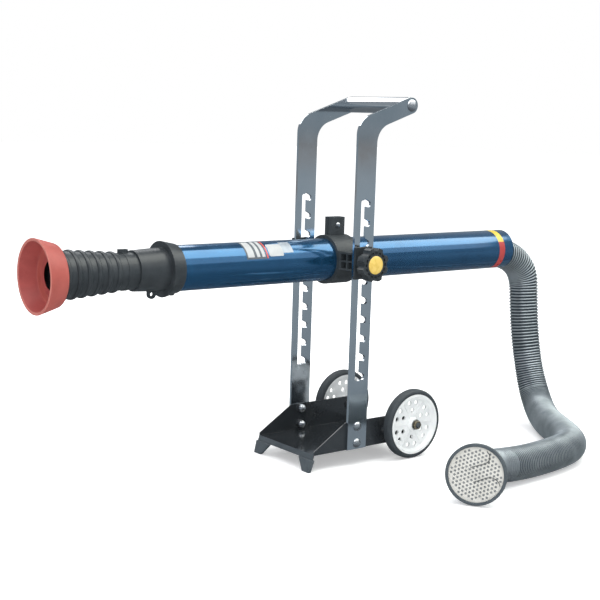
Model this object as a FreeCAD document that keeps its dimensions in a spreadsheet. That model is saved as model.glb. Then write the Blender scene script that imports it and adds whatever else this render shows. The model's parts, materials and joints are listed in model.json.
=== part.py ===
import FreeCAD, Part
import math
import os
import re

import Sketcher
from FreeCAD import Placement, Rotation, Vector

# Workshop exhaust fume extractor: a fan tube on a two-wheeled trolley with a notched height slot.
# Millimetres. X runs from the nozzle (-X) to the outlet (+X), Z is up from the floor, and the
# left side is -Y. The origin is on the floor, midway between the nozzle's mouth and the outlet.

doc = FreeCAD.newDocument("FumeExtractor")

# Driving dimensions: millimetres, degrees or counts.
SIZES = {
    # Fan tube
    "tube_dia": 119,
    "tube_wall": 2,
    "tube_length": 1247,
    "outlet_reach": 687,
    # Inlet collar, rubber sleeve and nozzle cone
    "collar_lap": 33,
    "flange_length": 39,
    "flange_rear_dia": 128,
    "flange_front_dia": 145,
    "spigot_length": 84,
    "spigot_root_dia": 112,
    "spigot_end_dia": 104,
    "nipple_length": 42,
    "nipple_wall": 4,
    "eyelet_dia": 24,
    "eyelet_hole": 10.5,
    "eyelet_thickness": 9,
    "eyelet_drop": 62.5,
    "eyelet_setback": 26,
    "flange_tab": 11,
    "sleeve_length": 198,
    "sleeve_rear_dia": 94,
    "sleeve_front_dia": 122,
    "sleeve_wall": 4,
    "sleeve_cuff": 20,
    "sleeve_ribs": 6,
    "sleeve_rib_height": 4,
    "sleeve_rib_width": 5,
    "sleeve_rib_flank": 3.5,
    "sleeve_plain": 7,
    "sleeve_lip": 4.5,
    "clip_width": 11,
    "clip_thickness": 1.2,
    "clip_setback": 26,
    "clip_screw_length": 23,
    "clip_screw_height": 9,
    "clip_screw_width": 14,
    "cone_gap": 11,
    "cone_length": 56,
    "cone_rear_dia": 154,
    "cone_mouth_dia": 186,
    "cone_wall": 7.5,
    "cone_floor": 2.5,
    "cone_throat_dia": 94,
    # Tube clamp, studs and knob
    "ring_width": 76,
    "ring_wall": 9.5,
    "clamp_offset": 11,
    "wing_height": 50,
    "wing_front_inset": 14,
    "wing_rear_inset": 20,
    "wing_root": 62,
    "lug_width": 49.5,
    "lug_reach": 119,
    "lug_thickness": 27,
    "lug_slit": 2,
    "lug_bolt_rise": 97,
    "lug_bolt_dia": 8,
    "lug_bolt_head": 15,
    "lug_bolt_head_height": 6,
    "lug_nut_height": 7,
    "pocket_side": 17,
    "pocket_gap": 5,
    "pocket_depth": 6,
    "stud_dia": 12,
    "stud_rise": 3.5,
    "stud_seat": 38,
    "stud_thread": 26,
    "stud_flange_dia": 36,
    "stud_flange_height": 3,
    "stud_head_dia": 28,
    "stud_head_height": 10,
    "bush_play": 0.25,
    "plate_width": 60,
    "plate_height": 88,
    "plate_thickness": 8,
    "knob_dia": 93,
    "knob_lobes": 8,
    "knob_scallop_dia": 26,
    "knob_length": 26,
    "neck_dia": 54,
    "neck_length": 24,
    "knob_face_slots": 16,
    "knob_slot_radius": 33,
    "knob_slot_length": 9.5,
    "knob_slot_width": 5.5,
    "knob_slot_depth": 4,
    "cap_dia": 50,
    "cap_seat": 2,
    "cap_crown": 5,
    # Uprights with their handle arms
    "bar_width": 68,
    "bar_thickness": 8,
    "bar_bottom": 47,
    "arm_angle": 19.3,
    "arm_width": 44,
    "bend_radius": 56,
    "handle_setback": 157,
    "handle_rise": 1002,
    "handle_dia": 46,
    "handle_wall": 3,
    "handle_plug_length": 22,
    "handle_bolt_dia": 10,
    "handle_bolt_head": 34,
    "handle_bolt_head_height": 8,
    "slot_width": 18,
    "slot_offset": -6,
    "slot_end_room": 1.5,
    "notch_count": 10,
    "rest_notch": 3,
    "notch_pitch": 53.4,
    "first_notch_rise": 732,
    "notch_reach": 16,
    "notch_slant": 25,
    # Tray, feet and the bolts through the frame
    "sheet": 3,
    "tray_width": 252,
    "tray_rise": 46,
    "tray_wall_height": 79,
    "tray_nose_height": 10,
    "tray_front_reach": 147,
    "tray_rear_reach": 218,
    "tray_slope_reach": 35,
    "flange_drop": 12,
    "foot_splay": 13,
    "leg_top_inner": 71,
    "leg_end_inner": 100,
    "leg_end_outer": 123,
    "foot_sole": 4,
    "foot_wall": 3.5,
    "frame_bolt_dia": 8,
    "frame_bolt_low": 17.5,
    "frame_bolt_high": 65.5,
    "frame_bolt_head": 26,
    "frame_bolt_head_height": 8,
    "frame_nut_dia": 24,
    "frame_nut_base": 6,
    "frame_nut_crown": 12,
    "hole_play": 0.2,
    # Wheels and axle
    "wheel_dia": 200,
    "wheel_width": 30,
    "wheel_setback": 188,
    "wheel_gap": 14,
    "tyre_depth": 13.4,
    "rim_depth": 7,
    "web_recess": 12,
    "web_thickness": 6,
    "hub_dia": 40,
    "bush_wall": 3,
    "hub_proud": 2,
    "wheel_sectors": 6,
    "wheel_hole_dia": 13.5,
    "outer_hole_radius": 62,
    "inner_hole_radius": 39,
    "hole_pair_angle": 12,
    "wheel_rib_width": 3,
    "wheel_rib_height": 2,
    "axle_dia": 16,
    "axle_head_dia": 27,
    "axle_head_height": 7,
    "axle_washer_dia": 30,
    "axle_washer_thickness": 2,
    "axle_nut_dia": 25,
    "axle_nut_height": 9,
    "spin_play": 0.05,
    "side_play": 0.3,
    # Fan and motor inside the tube
    "fan_setback": 300,
    "motor_dia": 78,
    "motor_length": 116,
    "motor_wall": 3,
    "motor_end_wall": 12,
    "motor_shaft_dia": 12,
    "bearing_dia": 28,
    "bearing_width": 8,
    "stator_dia_inner": 46,
    "stator_length": 56,
    "air_gap": 0.6,
    "shaft_nose": 58,
    "shaft_tail": 6,
    "impeller_hub_dia": 60,
    "impeller_hub_length": 30,
    "impeller_blades": 7,
    "blade_thickness": 3,
    "blade_chord": 34,
    "blade_pitch": 38,
    "blade_tip_gap": 1.5,
    "impeller_gap": 8,
    "impeller_nut_dia": 22,
    "impeller_nut_height": 9,
    "spider_width": 14,
    "spider_rim": 3,
    "spider_hub_wall": 3,
    "spider_arm": 5,
    "spider_end_gap": 12,
    "gland_dia": 22,
    "gland_stem_dia": 12,
    "gland_reach": 17,
    "gland_bore": 7,
    "gland_stem_bore": 9,
    "gland_grip": 12,
    # Outlet hose and its end cap
    "hose_dia": 94,
    "hose_wall": 1.5,
    "hose_rib_height": 3,
    "hose_rib_pitch": 11.5,
    "hose_rib_width": 5,
    "hose_split": 330,
    "outlet_ring_length": 16,
    "cuff_length": 46,
    "cuff_step": 12,
    "cap_rim_dia": 157,
    "cap_rim_wall": 8,
    "cap_rim_depth": 18,
    "grille_recess": 5,
    "grille_thickness": 1.5,
    "grille_hole": 6.2,
    "grille_pitch": 10.4,
}

# Places worked out from the driving dimensions.
PLACES = {
    "nozzle_reach": "flange_length - collar_lap + spigot_length + sleeve_length + cone_gap + cone_length",
    "outlet_x": "(tube_length + nozzle_reach) / 2",
    "tube_front_x": "outlet_x - tube_length",
    "flange_rear_x": "tube_front_x + collar_lap",
    "flange_front_x": "flange_rear_x - flange_length",
    "spigot_end_x": "flange_front_x - spigot_length",
    "sleeve_front_x": "spigot_end_x - sleeve_length - cone_gap - sleeve_cuff / 2",
    "cone_rear_x": "spigot_end_x - sleeve_length - cone_gap",
    "cone_floor_x": "sleeve_front_x - cone_floor",
    "mouth_x": "cone_rear_x - cone_length",
    "bar_x": "outlet_x - outlet_reach",
    "stud_x": "bar_x + slot_offset",
    "ring_x": "stud_x + clamp_offset",
    "stud_z": "first_notch_rise - rest_notch * notch_pitch",
    "tube_z": "stud_z - stud_rise",
    "bar_inner_y": "tray_width / 2",
    "bar_outer_y": "bar_inner_y + bar_thickness",
    "plate_outer_y": "bar_outer_y + plate_thickness",
    "neck_y": "plate_outer_y + side_play",
    "knob_back_y": "neck_y + neck_length",
    "knob_face_y": "knob_back_y + knob_length",
    "stud_end_y": "neck_y + stud_thread",
    "handle_x": "bar_x + handle_setback",
    "axle_x": "bar_x + wheel_setback",
    "axle_z": "wheel_dia / 2",
    "wheel_inner_y": "tray_width / 2 + wheel_gap",
    "hub_outer_y": "wheel_inner_y + wheel_width + hub_proud",
    "axle_washer_y": "hub_outer_y + side_play",
    "axle_nut_y": "axle_washer_y + axle_washer_thickness",
    "axle_end_y": "axle_nut_y + axle_nut_height",
    "tray_front_x": "bar_x - tray_front_reach",
    "tray_rear_x": "bar_x + tray_rear_reach",
    "tray_slope_x": "bar_x - tray_slope_reach",
    "tray_floor_z": "tray_rise + sheet",
    "tray_top_z": "tray_rise + tray_wall_height",
    "flange_low_z": "tray_rise - flange_drop",
    "fan_x": "bar_x + fan_setback",
    "motor_front_x": "fan_x - motor_length / 2",
    "motor_rear_x": "fan_x + motor_length / 2",
    "impeller_rear_x": "motor_front_x - impeller_gap",
    "impeller_front_x": "impeller_rear_x - impeller_hub_length",
    "grille_seat": "cuff_length + cap_rim_depth - grille_recess - grille_thickness",
}

# Points of the hose's centreline, from the outlet ring inside the tube to its end on the floor.
HOSE_ROUTE = [
    (668, 0, 568.3),
    (913, 0, 568.3),
    (913, -20, 318),
    (916, -52, 165),
    (905, -105, 70),
    (846, -190, 47),
    (790, -275, 47),
    (738, -362, 47),
    (672, -440, 47),
    (565, -468, 47),
    (455, -480, 47),
    (362, -484, 50),
    (255, -484.8, 58.9),
    (183, -537, 71.5),
]
# The share of a run that the arc at its end takes up.
ARC_SHARE = 0.45

SIDES = (("left", -1), ("right", 1))
KNOB_SIDE = SIDES[0]
TURN = {
    "+x": Rotation(Vector(0, 1, 0), 90),
    "-x": Rotation(Vector(0, 1, 0), -90),
    "+y": Rotation(Vector(1, 0, 0), -90),
    "-y": Rotation(Vector(1, 0, 0), 90),
    "+z": Rotation(),
}
OUTWARD = {-1: "-y", 1: "+y"}
INWARD = {-1: "+y", 1: "-y"}
# How far a cutting solid stands past the face that it cuts through.
PAST = "sheet"

owner = {}
nodes = {}


def fill_sheet(name, cells):
    """A sheet with one aliased cell in each row."""
    sheet = doc.addObject("Spreadsheet::Sheet", name)
    for row, (alias, text) in enumerate(cells.items(), 1):
        sheet.set(f"A{row}", alias.replace("_", " "))
        sheet.setAlias(f"B{row}", alias)
        owner[alias] = f"{name}.{alias}"
        sheet.set(f"B{row}", text if isinstance(text, str) else str(text))
    return sheet


def bound(formula):
    """The formula with every size and place named by its sheet."""
    return re.sub(r"[a-z][a-z_]*", lambda word: owner.get(word.group(0), word.group(0)), formula)


sizes = fill_sheet("Sizes", SIZES)
places = fill_sheet("Places", {alias: "=" + bound(formula) for alias, formula in PLACES.items()})
doc.recompute()


def value(formula):
    """The number that a formula of sizes and places gives."""
    return float(sizes.evalExpression(bound(formula)))


def bind(obj, formulas):
    for prop, formula in formulas.items():
        obj.setExpression(prop, bound(formula))
    return obj


def place(obj, x="0", y="0", z="0", turn=Rotation()):
    obj.Placement = Placement(Vector(), turn)
    return bind(obj, {"Placement.Base.x": x, "Placement.Base.y": y, "Placement.Base.z": z})


def cylinder(name, dia, length, x="0", y="0", z="0", along="+z"):
    made = doc.addObject("Part::Cylinder", name)
    bind(made, {"Radius": f"({dia}) / 2", "Height": length})
    return place(made, x, y, z, TURN[along])


def box(name, length, width, height, x, y, z):
    """A box centred on x and y, standing on z."""
    made = doc.addObject("Part::Box", name)
    bind(made, {"Length": length, "Width": width, "Height": height})
    return place(made, f"{x} - ({length}) / 2", f"{y} - ({width}) / 2", z)


def dome(name, dia, rise, x, y, z, along):
    """Half an ellipsoid on a flat round base."""
    made = doc.addObject("Part::Ellipsoid", name)
    bind(made, {"Radius1": rise, "Radius2": f"({dia}) / 2", "Radius3": f"({dia}) / 2"})
    made.Angle1 = 0
    return place(made, x, y, z, TURN[along])


def hexagon(name, across, height, x, y, z, along):
    """A six-sided prism, measured across its corners."""
    made = doc.addObject("Part::Prism", name)
    made.Polygon = 6
    bind(made, {"Circumradius": f"({across}) / 2", "Height": height})
    return place(made, x, y, z, TURN[along])


def fused(name, shapes):
    made = doc.addObject("Part::MultiFuse", name)
    made.Shapes = shapes
    return made


def cut(name, base, tools):
    made = doc.addObject("Part::Cut", name)
    made.Base = base
    made.Tool = tools[0] if len(tools) == 1 else fused(name + "_tools", tools)
    return made


def common(name, shapes):
    made = doc.addObject("Part::MultiCommon", name)
    made.Shapes = shapes
    return made


def group(name, shapes):
    """Identical pieces that share one node."""
    made = doc.addObject("Part::Compound", name)
    made.Links = shapes
    return made


def node(name, obj):
    obj.Label = name
    nodes[name] = obj
    return obj


def new_body(name):
    return doc.addObject("PartDesign::Body", name + "_body")


def sketch(body, name, plane, offset="0"):
    """A sketch on one of the body's own origin planes, moved along the plane's normal."""
    made = body.newObject("Sketcher::SketchObject", name)
    support = [feature for feature in body.Origin.OriginFeatures if feature.Role == plane]
    made.AttachmentSupport = [(support[0], "")]
    made.MapMode = "FlatFace"
    if offset != "0":
        bind(made, {"AttachmentOffset.Base.z": offset})
    return made


def tie(made, kind, line, formula):
    """Holds one coordinate of a point of the sketch at the formula's value."""
    number = value(formula)
    index = made.addConstraint(Sketcher.Constraint(kind, -1, 1, line[0], line[1], number))
    made.setExpression(f"Constraints[{index}]", bound(formula))


def hold(made, geometry, end, x, y):
    for kind, axis, formula in (("DistanceX", -2, x), ("DistanceY", -1, y)):
        if formula == "0":
            made.addConstraint(Sketcher.Constraint("PointOnObject", geometry, end, axis))
        else:
            tie(made, kind, (geometry, end), formula)


def outline(made, points):
    """A closed polygon whose corners are held at formulas."""
    first = made.GeometryCount
    at = [Vector(value(x), value(y), 0) for x, y in points]
    count = len(at)
    for i in range(count):
        made.addGeometry(Part.LineSegment(at[i], at[(i + 1) % count]))
    for i in range(count):
        made.addConstraint(Sketcher.Constraint("Coincident", first + i, 2, first + (i + 1) % count, 1))
    for i, (x, y) in enumerate(points):
        hold(made, first + i, 1, x, y)
    return made


def rectangle(made, x0, x1, y0, y1):
    return outline(made, [(x0, y0), (x1, y0), (x1, y1), (x0, y1)])


def circle(made, dia, x="0", y="0"):
    index = made.addGeometry(Part.Circle(Vector(value(x), value(y), 0), Vector(0, 0, 1), value(dia) / 2))
    hold(made, index, 3, x, y)
    size = made.addConstraint(Sketcher.Constraint("Diameter", index, value(dia)))
    made.setExpression(f"Constraints[{size}]", bound(dia))
    return made


def pad(body, name, profile, length, symmetric=False, reverse=False):
    made = body.newObject("PartDesign::Pad", name)
    made.Profile = profile
    made.SideType = "Symmetric" if symmetric else "One side"
    made.Reversed = reverse
    return bind(made, {"Length": length})


def pocket(body, name, profile, length=None, symmetric=False, reverse=False):
    """A pocket right through, or of the length that is given."""
    made = body.newObject("PartDesign::Pocket", name)
    made.Profile = profile
    made.SideType = "Symmetric" if symmetric else "One side"
    made.Reversed = reverse
    if length is None:
        made.Type = "ThroughAll"
    else:
        bind(made, {"Length": length})
    return made


def polar(body, name, features, axis, count):
    made = body.newObject("PartDesign::PolarPattern", name)
    made.Originals = features
    made.Axis = axis
    made.Angle = 360
    bind(made, {"Occurrences": count})
    body.Tip = made
    return made


def revolved(name, profile, axis, x="0", y="0", z="0", turn=Rotation()):
    """A body turned from a polygon in the XY plane about that plane's X (H) or Y (V) axis."""
    body = new_body(name)
    made = outline(sketch(body, name + "_profile", "XY_Plane"), profile)
    round_body = body.newObject("PartDesign::Revolution", name + "_turned")
    round_body.Profile = made
    round_body.ReferenceAxis = (made, [axis])
    round_body.Angle = 360
    return place(body, x, y, z, turn)


def round_x(name, profile, z="tube_z"):
    """A piece turned about the tube's axis, from points of x and diameter."""
    return revolved(name, [(x, f"({dia}) / 2") for x, dia in profile], "H_Axis", z=z)


def edges_along_y(feature, corners):
    """The names of the edges along Y through the given points of x and z."""
    found = []
    for number, edge in enumerate(feature.Shape.Edges, 1):
        ends = [vertex.Point for vertex in edge.Vertexes]
        for x, z in corners:
            if len(ends) == 2 and all(math.hypot(p.x - x, p.z - z) < 0.01 for p in ends):
                found.append(f"Edge{number}")
    return found


def make_tray():
    """The folded tray: floor, two side walls, and a front flange that runs down into two legs."""
    body = new_body("base_tray")
    side = outline(sketch(body, "tray_side", "XZ_Plane"), [
        ("tray_front_x", "tray_rise"),
        ("tray_rear_x", "tray_rise"),
        ("tray_rear_x", "tray_top_z"),
        ("tray_slope_x", "tray_top_z"),
        ("tray_front_x", "tray_rise + tray_nose_height"),
    ])
    pad(body, "tray_block", side, "tray_width", symmetric=True)
    inside = "tray_width / 2 - sheet"
    hollow = rectangle(sketch(body, "tray_inside", "YZ_Plane"), f"-({inside})", inside,
                       "tray_floor_z", f"tray_top_z + {PAST}")
    pocket(body, "tray_hollow", hollow, symmetric=True)
    flange = outline(sketch(body, "flange_side", "XZ_Plane"), [
        ("tray_front_x", "tray_floor_z"),
        ("tray_front_x - foot_splay", "foot_sole"),
        ("tray_front_x - foot_splay + sheet", "foot_sole"),
        ("tray_front_x + sheet", "tray_floor_z"),
    ])
    pad(body, "front_flange", flange, "tray_width", symmetric=True)
    below = f"foot_sole - {PAST}"
    gap = outline(sketch(body, "leg_gap", "YZ_Plane"), [
        ("-leg_end_inner", below),
        ("-leg_end_inner", "foot_sole"),
        ("-leg_top_inner", "flange_low_z"),
        ("leg_top_inner", "flange_low_z"),
        ("leg_end_inner", "foot_sole"),
        ("leg_end_inner", below),
    ])
    beside = f"tray_width / 2 + {PAST}"
    for sign in ("", "-"):
        outline(gap, [
            (f"{sign}(tray_width / 2)", "flange_low_z"),
            (f"{sign}({beside})", "flange_low_z"),
            (f"{sign}({beside})", below),
            (f"{sign}leg_end_outer", below),
            (f"{sign}leg_end_outer", "foot_sole"),
        ])
    pocket(body, "leg_cut", gap, symmetric=True)
    holes = sketch(body, "tray_holes", "XZ_Plane")
    circle(holes, "axle_dia + 2 * hole_play", "axle_x", "axle_z")
    for rise in ("frame_bolt_low", "frame_bolt_high"):
        circle(holes, "frame_bolt_dia + 2 * hole_play", "bar_x", f"tray_rise + {rise}")
    pocket(body, "tray_bores", holes, symmetric=True)
    return node("base_tray", body)


def make_foot_cap(side, sign, tray):
    """A rubber cap that follows the splayed leg and leaves its shape as a pocket."""
    strip = new_body(f"{side}_cap_strip")
    low = "tray_front_x - foot_splay * (tray_floor_z) / (tray_floor_z - foot_sole)"
    high = "tray_front_x - foot_splay * (tray_floor_z - flange_low_z) / (tray_floor_z - foot_sole)"
    profile = outline(sketch(strip, f"{side}_cap_side", "XZ_Plane"), [
        (f"{low} - foot_wall", "0"),
        (f"{low} + sheet + foot_wall", "0"),
        (f"{high} + sheet + foot_wall", "flange_low_z"),
        (f"{high} - foot_wall", "flange_low_z"),
    ])
    pad(strip, f"{side}_cap_strip_pad", profile, "tray_width + 4 * foot_wall", symmetric=True)
    front = new_body(f"{side}_cap_front")
    shape = outline(sketch(front, f"{side}_cap_outline", "YZ_Plane"), [
        (f"{sign} * (leg_end_inner - foot_wall)", "0"),
        (f"{sign} * (leg_end_outer + foot_wall)", "0"),
        (f"{sign} * (tray_width / 2 + foot_wall)", "flange_low_z"),
        (f"{sign} * (leg_top_inner - foot_wall)", "flange_low_z"),
    ])
    pad(front, f"{side}_cap_front_pad", shape, "2 * tray_front_reach", symmetric=True)
    blank = common(f"{side}_cap_blank", [strip, front])
    return node(f"{side}_foot_cap", cut(f"{side}_foot_cap", blank, [tray]))


def make_upright(side, sign):
    """A flat bar bent over into a handle arm, with a slot and a row of slanting notches."""
    name = f"{side}_upright"
    body = new_body(name)
    inner = "bar_inner_y" if sign < 0 else "-bar_outer_y"
    half = "bar_width / 2"
    tilt = "tan(arm_angle)"
    across = "arm_width / 2 / cos(arm_angle)"
    outer_corner = ("bar_x - bar_width / 2",
                    f"handle_rise - {tilt} * (handle_setback + {half}) + {across}")
    inner_corner = ("bar_x + bar_width / 2",
                    f"handle_rise - {tilt} * (handle_setback - {half}) - {across}")
    side_step = "arm_width / 2 * sin(arm_angle)"
    rise_step = "arm_width / 2 * cos(arm_angle)"
    shape = outline(sketch(body, name + "_outline", "XZ_Plane", inner), [
        ("bar_x - bar_width / 2", "bar_bottom"),
        outer_corner,
        (f"handle_x - {side_step}", f"handle_rise + {rise_step}"),
        (f"handle_x + {side_step}", f"handle_rise - {rise_step}"),
        inner_corner,
        ("bar_x + bar_width / 2", "bar_bottom"),
    ])
    pad(body, name + "_bar", shape, "bar_thickness")
    end = circle(sketch(body, name + "_end", "XZ_Plane", inner), "arm_width", "handle_x", "handle_rise")
    rounded = pad(body, name + "_arm_end", end, "bar_thickness")
    doc.recompute()
    bend = body.newObject("PartDesign::Fillet", name + "_bends")
    corners = [(value(x), value(z)) for x, z in (outer_corner, inner_corner)]
    bend.Base = (rounded, edges_along_y(rounded, corners))
    bind(bend, {"Radius": "bend_radius"})
    reach = "(slot_width / 2 + slot_end_room)"
    last_notch = "first_notch_rise - (notch_count - 1) * notch_pitch"
    channel = rectangle(sketch(body, name + "_channel", "XZ_Plane", inner), "stud_x - slot_width / 2",
                        "stud_x + slot_width / 2", f"{last_notch} - {reach}", f"first_notch_rise + {reach}")
    slot = pocket(body, name + "_slot", channel, symmetric=True)
    doc.recompute()
    rounding = body.newObject("PartDesign::Fillet", name + "_slot_ends")
    slot_corners = [(value(x), value(z))
                    for x in ("stud_x - slot_width / 2", "stud_x + slot_width / 2")
                    for z in (f"{last_notch} - {reach}", f"first_notch_rise + {reach}")]
    rounding.Base = (slot, edges_along_y(slot, slot_corners))
    bind(rounding, {"Radius": "slot_width / 3"})
    seat_x = "stud_x + notch_reach"
    seat = circle(sketch(body, name + "_seat", "XZ_Plane", inner), "slot_width", seat_x, "first_notch_rise")
    seat_cut = pocket(body, name + "_seat_cut", seat, symmetric=True)
    over = "slot_width / 2 * sin(notch_slant)"
    up = "slot_width / 2 * cos(notch_slant)"
    climb = "notch_reach * tan(notch_slant)"
    throat = outline(sketch(body, name + "_throat", "XZ_Plane", inner), [
        (f"{seat_x} + {over}", f"first_notch_rise + {up}"),
        (f"stud_x + {over}", f"first_notch_rise + {up} + {climb}"),
        (f"stud_x - {over}", f"first_notch_rise - {up} + {climb}"),
        (f"{seat_x} - {over}", f"first_notch_rise - {up}"),
    ])
    throat_cut = pocket(body, name + "_throat_cut", throat, symmetric=True)
    row = body.newObject("PartDesign::LinearPattern", name + "_notches")
    row.Originals = [seat_cut, throat_cut]
    row.Direction = (throat, ["V_Axis"])
    row.Reversed = True
    bind(row, {"Length": "(notch_count - 1) * notch_pitch", "Occurrences": "notch_count"})
    body.Tip = row
    holes = sketch(body, name + "_holes", "XZ_Plane", inner)
    for low in ("frame_bolt_low", "frame_bolt_high"):
        circle(holes, "frame_bolt_dia + 2 * hole_play", "bar_x", f"tray_rise + {low}")
    circle(holes, "handle_bolt_dia + 2 * hole_play", "handle_x", "handle_rise")
    pocket(body, name + "_bores", holes, symmetric=True)
    return node(name, body)


def make_handle():
    """The cross tube, the threaded plugs in its ends and the domed bolts through the arms."""
    length = "2 * bar_inner_y"
    across = {"x": "handle_x", "z": "handle_rise"}
    bore = "handle_dia - 2 * handle_wall"
    outer = cylinder("handle_outer", "handle_dia", length, y="-bar_inner_y", along="+y", **across)
    inner = cylinder("handle_inner", bore, length, y="-bar_inner_y", along="+y", **across)
    node("handle_tube", cut("handle_tube", outer, [inner]))
    plugs = []
    bolts = []
    for side, sign in SIDES:
        start = f"{sign} * bar_inner_y"
        plug = cylinder(f"{side}_plug_blank", bore, "handle_plug_length", y=start, along=INWARD[sign],
                        **across)
        thread = cylinder(f"{side}_plug_thread", "handle_bolt_dia", "handle_plug_length", y=start,
                          along=INWARD[sign], **across)
        plugs.append(cut(f"{side}_handle_plug", plug, [thread]))
        head = dome(f"{side}_handle_head", "handle_bolt_head", "handle_bolt_head_height", "handle_x",
                    f"{sign} * bar_outer_y", "handle_rise", OUTWARD[sign])
        shank = cylinder(f"{side}_handle_shank", "handle_bolt_dia", "bar_thickness + handle_plug_length",
                         y=f"{sign} * bar_outer_y", along=INWARD[sign], **across)
        bolts.append(fused(f"{side}_handle_bolt", [head, shank]))
    node("handle_plugs", group("handle_plugs", plugs))
    node("handle_bolts", group("handle_bolts", bolts))


def make_frame_bolts():
    """Mushroom-head bolts through each upright and tray wall, with domed nuts inside the tray."""
    bolts = []
    nuts = []
    for side, sign in SIDES:
        for level in ("low", "high"):
            name = f"{side}_{level}"
            z = f"tray_rise + frame_bolt_{level}"
            face = f"{sign} * bar_outer_y"
            seat = f"{sign} * (bar_inner_y - sheet)"
            head = dome(name + "_head", "frame_bolt_head", "frame_bolt_head_height", "bar_x", face, z,
                        OUTWARD[sign])
            shank = cylinder(name + "_shank", "frame_bolt_dia", "bar_thickness + sheet + frame_nut_base",
                             "bar_x", face, z, INWARD[sign])
            bolts.append(fused(name + "_bolt", [head, shank]))
            collar = cylinder(name + "_nut_base", "frame_nut_dia", "frame_nut_base", "bar_x", seat, z,
                              INWARD[sign])
            crown = dome(name + "_nut_crown", "frame_nut_dia", "frame_nut_crown", "bar_x",
                         f"{sign} * (bar_inner_y - sheet - frame_nut_base)", z, INWARD[sign])
            thread = cylinder(name + "_nut_thread", "frame_bolt_dia", "frame_nut_base", "bar_x", seat, z,
                              INWARD[sign])
            nuts.append(cut(name + "_nut", fused(name + "_nut_blank", [collar, crown]), [thread]))
    node("frame_bolts", group("frame_bolts", bolts))
    node("frame_nuts", group("frame_nuts", nuts))


def make_axle():
    """The stub axles through the tray's walls, and what spaces and holds each wheel on them."""
    line = {"x": "axle_x", "z": "axle_z"}
    pieces = {"stub_axles": [], "axle_spacers": [], "axle_washers": [], "axle_nuts": []}
    for side, sign in SIDES:
        y = f"{sign} * (bar_inner_y - sheet)"
        head = cylinder(f"{side}_axle_head", "axle_head_dia", "axle_head_height", y=y, along=INWARD[sign],
                        **line)
        shank = cylinder(f"{side}_axle_shank", "axle_dia", "axle_end_y - bar_inner_y + sheet", y=y,
                         along=OUTWARD[sign], **line)
        pieces["stub_axles"].append(fused(f"{side}_stub_axle", [head, shank]))
        rings = {
            "axle_spacers": ("hub_dia * 0.6", "wheel_gap - side_play", "bar_inner_y"),
            "axle_washers": ("axle_washer_dia", "axle_washer_thickness", "axle_washer_y"),
        }
        for kind, (dia, length, start) in rings.items():
            y = f"{sign} * {start}"
            ring = cylinder(f"{side}_{kind}_disc", dia, length, y=y, along=OUTWARD[sign], **line)
            bore = cylinder(f"{side}_{kind}_bore", "axle_dia", length, y=y, along=OUTWARD[sign], **line)
            pieces[kind].append(cut(f"{side}_{kind}", ring, [bore]))
        y = f"{sign} * axle_nut_y"
        nut = hexagon(f"{side}_axle_hex", "axle_nut_dia", "axle_nut_height", "axle_x", y, "axle_z",
                      OUTWARD[sign])
        bore = cylinder(f"{side}_axle_thread", "axle_dia", "axle_nut_height", y=y, along=OUTWARD[sign],
                        **line)
        pieces["axle_nuts"].append(cut(f"{side}_axle_nut", nut, [bore]))
    for name, rings in pieces.items():
        node(name, group(name, rings))


def make_wheel(side, sign):
    """A moulded disc with pierced sectors, its rubber tyre and its plain bearing bush."""
    turn = Rotation() if sign < 0 else Rotation(Vector(0, 0, 1), 180)
    spot = {"x": "axle_x", "y": f"{sign} * wheel_inner_y", "z": "axle_z", "turn": turn}
    rim = "wheel_dia / 2 - tyre_depth"
    web_out = "-(wheel_width - web_recess)"
    web_in = f"{web_out} + web_thickness"
    bush = "axle_dia / 2 + spin_play + bush_wall"
    hub_end = "-(wheel_width + hub_proud)"
    name = f"{side}_wheel_disc"
    disc = revolved(name, [
        (bush, "0"),
        ("hub_dia / 2", "0"),
        ("hub_dia / 2", web_in),
        (f"{rim} - rim_depth", web_in),
        (f"{rim} - rim_depth", "-sheet"),
        (rim, "-sheet"),
        (rim, "-wheel_width"),
        (f"{rim} - rim_depth", "-wheel_width"),
        (f"{rim} - rim_depth - web_recess / 2", web_out),
        ("hub_dia / 2", web_out),
        ("hub_dia / 2 - sheet", hub_end),
        (bush, hub_end),
    ], "V_Axis", **spot)
    ribs = sketch(disc, name + "_rib_profile", "XZ_Plane", f"-({web_out})")
    rectangle(ribs, "hub_dia / 2 - sheet", f"{rim} - rim_depth / 2", "-wheel_rib_width / 2",
              "wheel_rib_width / 2")
    rib = pad(disc, name + "_rib", ribs, "wheel_rib_height")
    axis = (ribs, ["N_Axis"])
    polar(disc, name + "_ribs", [rib], axis, "wheel_sectors")
    holes = sketch(disc, name + "_hole_profile", "XZ_Plane")
    middle = "180 / wheel_sectors"
    circle(holes, "wheel_hole_dia", f"inner_hole_radius * cos({middle})",
           f"inner_hole_radius * sin({middle})")
    for offset in ("+ hole_pair_angle", "- hole_pair_angle"):
        angle = f"{middle} {offset}"
        circle(holes, "wheel_hole_dia", f"outer_hole_radius * cos({angle})",
               f"outer_hole_radius * sin({angle})")
    pierced = pocket(disc, name + "_holes", holes, symmetric=True)
    polar(disc, name + "_hole_rings", [pierced], (holes, ["N_Axis"]), "wheel_sectors")
    node(name, disc)
    edge = "wheel_width / 5"
    node(f"{side}_tyre", revolved(f"{side}_tyre", [
        (rim, "0"),
        ("wheel_dia / 2 - tyre_depth / 2", "0"),
        ("wheel_dia / 2", f"-{edge}"),
        ("wheel_dia / 2", f"-wheel_width + {edge}"),
        ("wheel_dia / 2 - tyre_depth / 2", "-wheel_width"),
        (rim, "-wheel_width"),
    ], "V_Axis", **spot))
    node(f"{side}_wheel_bush", revolved(f"{side}_wheel_bush", [
        ("axle_dia / 2 + spin_play", "0"),
        (bush, "0"),
        (bush, hub_end),
        ("axle_dia / 2 + spin_play", hub_end),
    ], "V_Axis", **spot))


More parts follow.
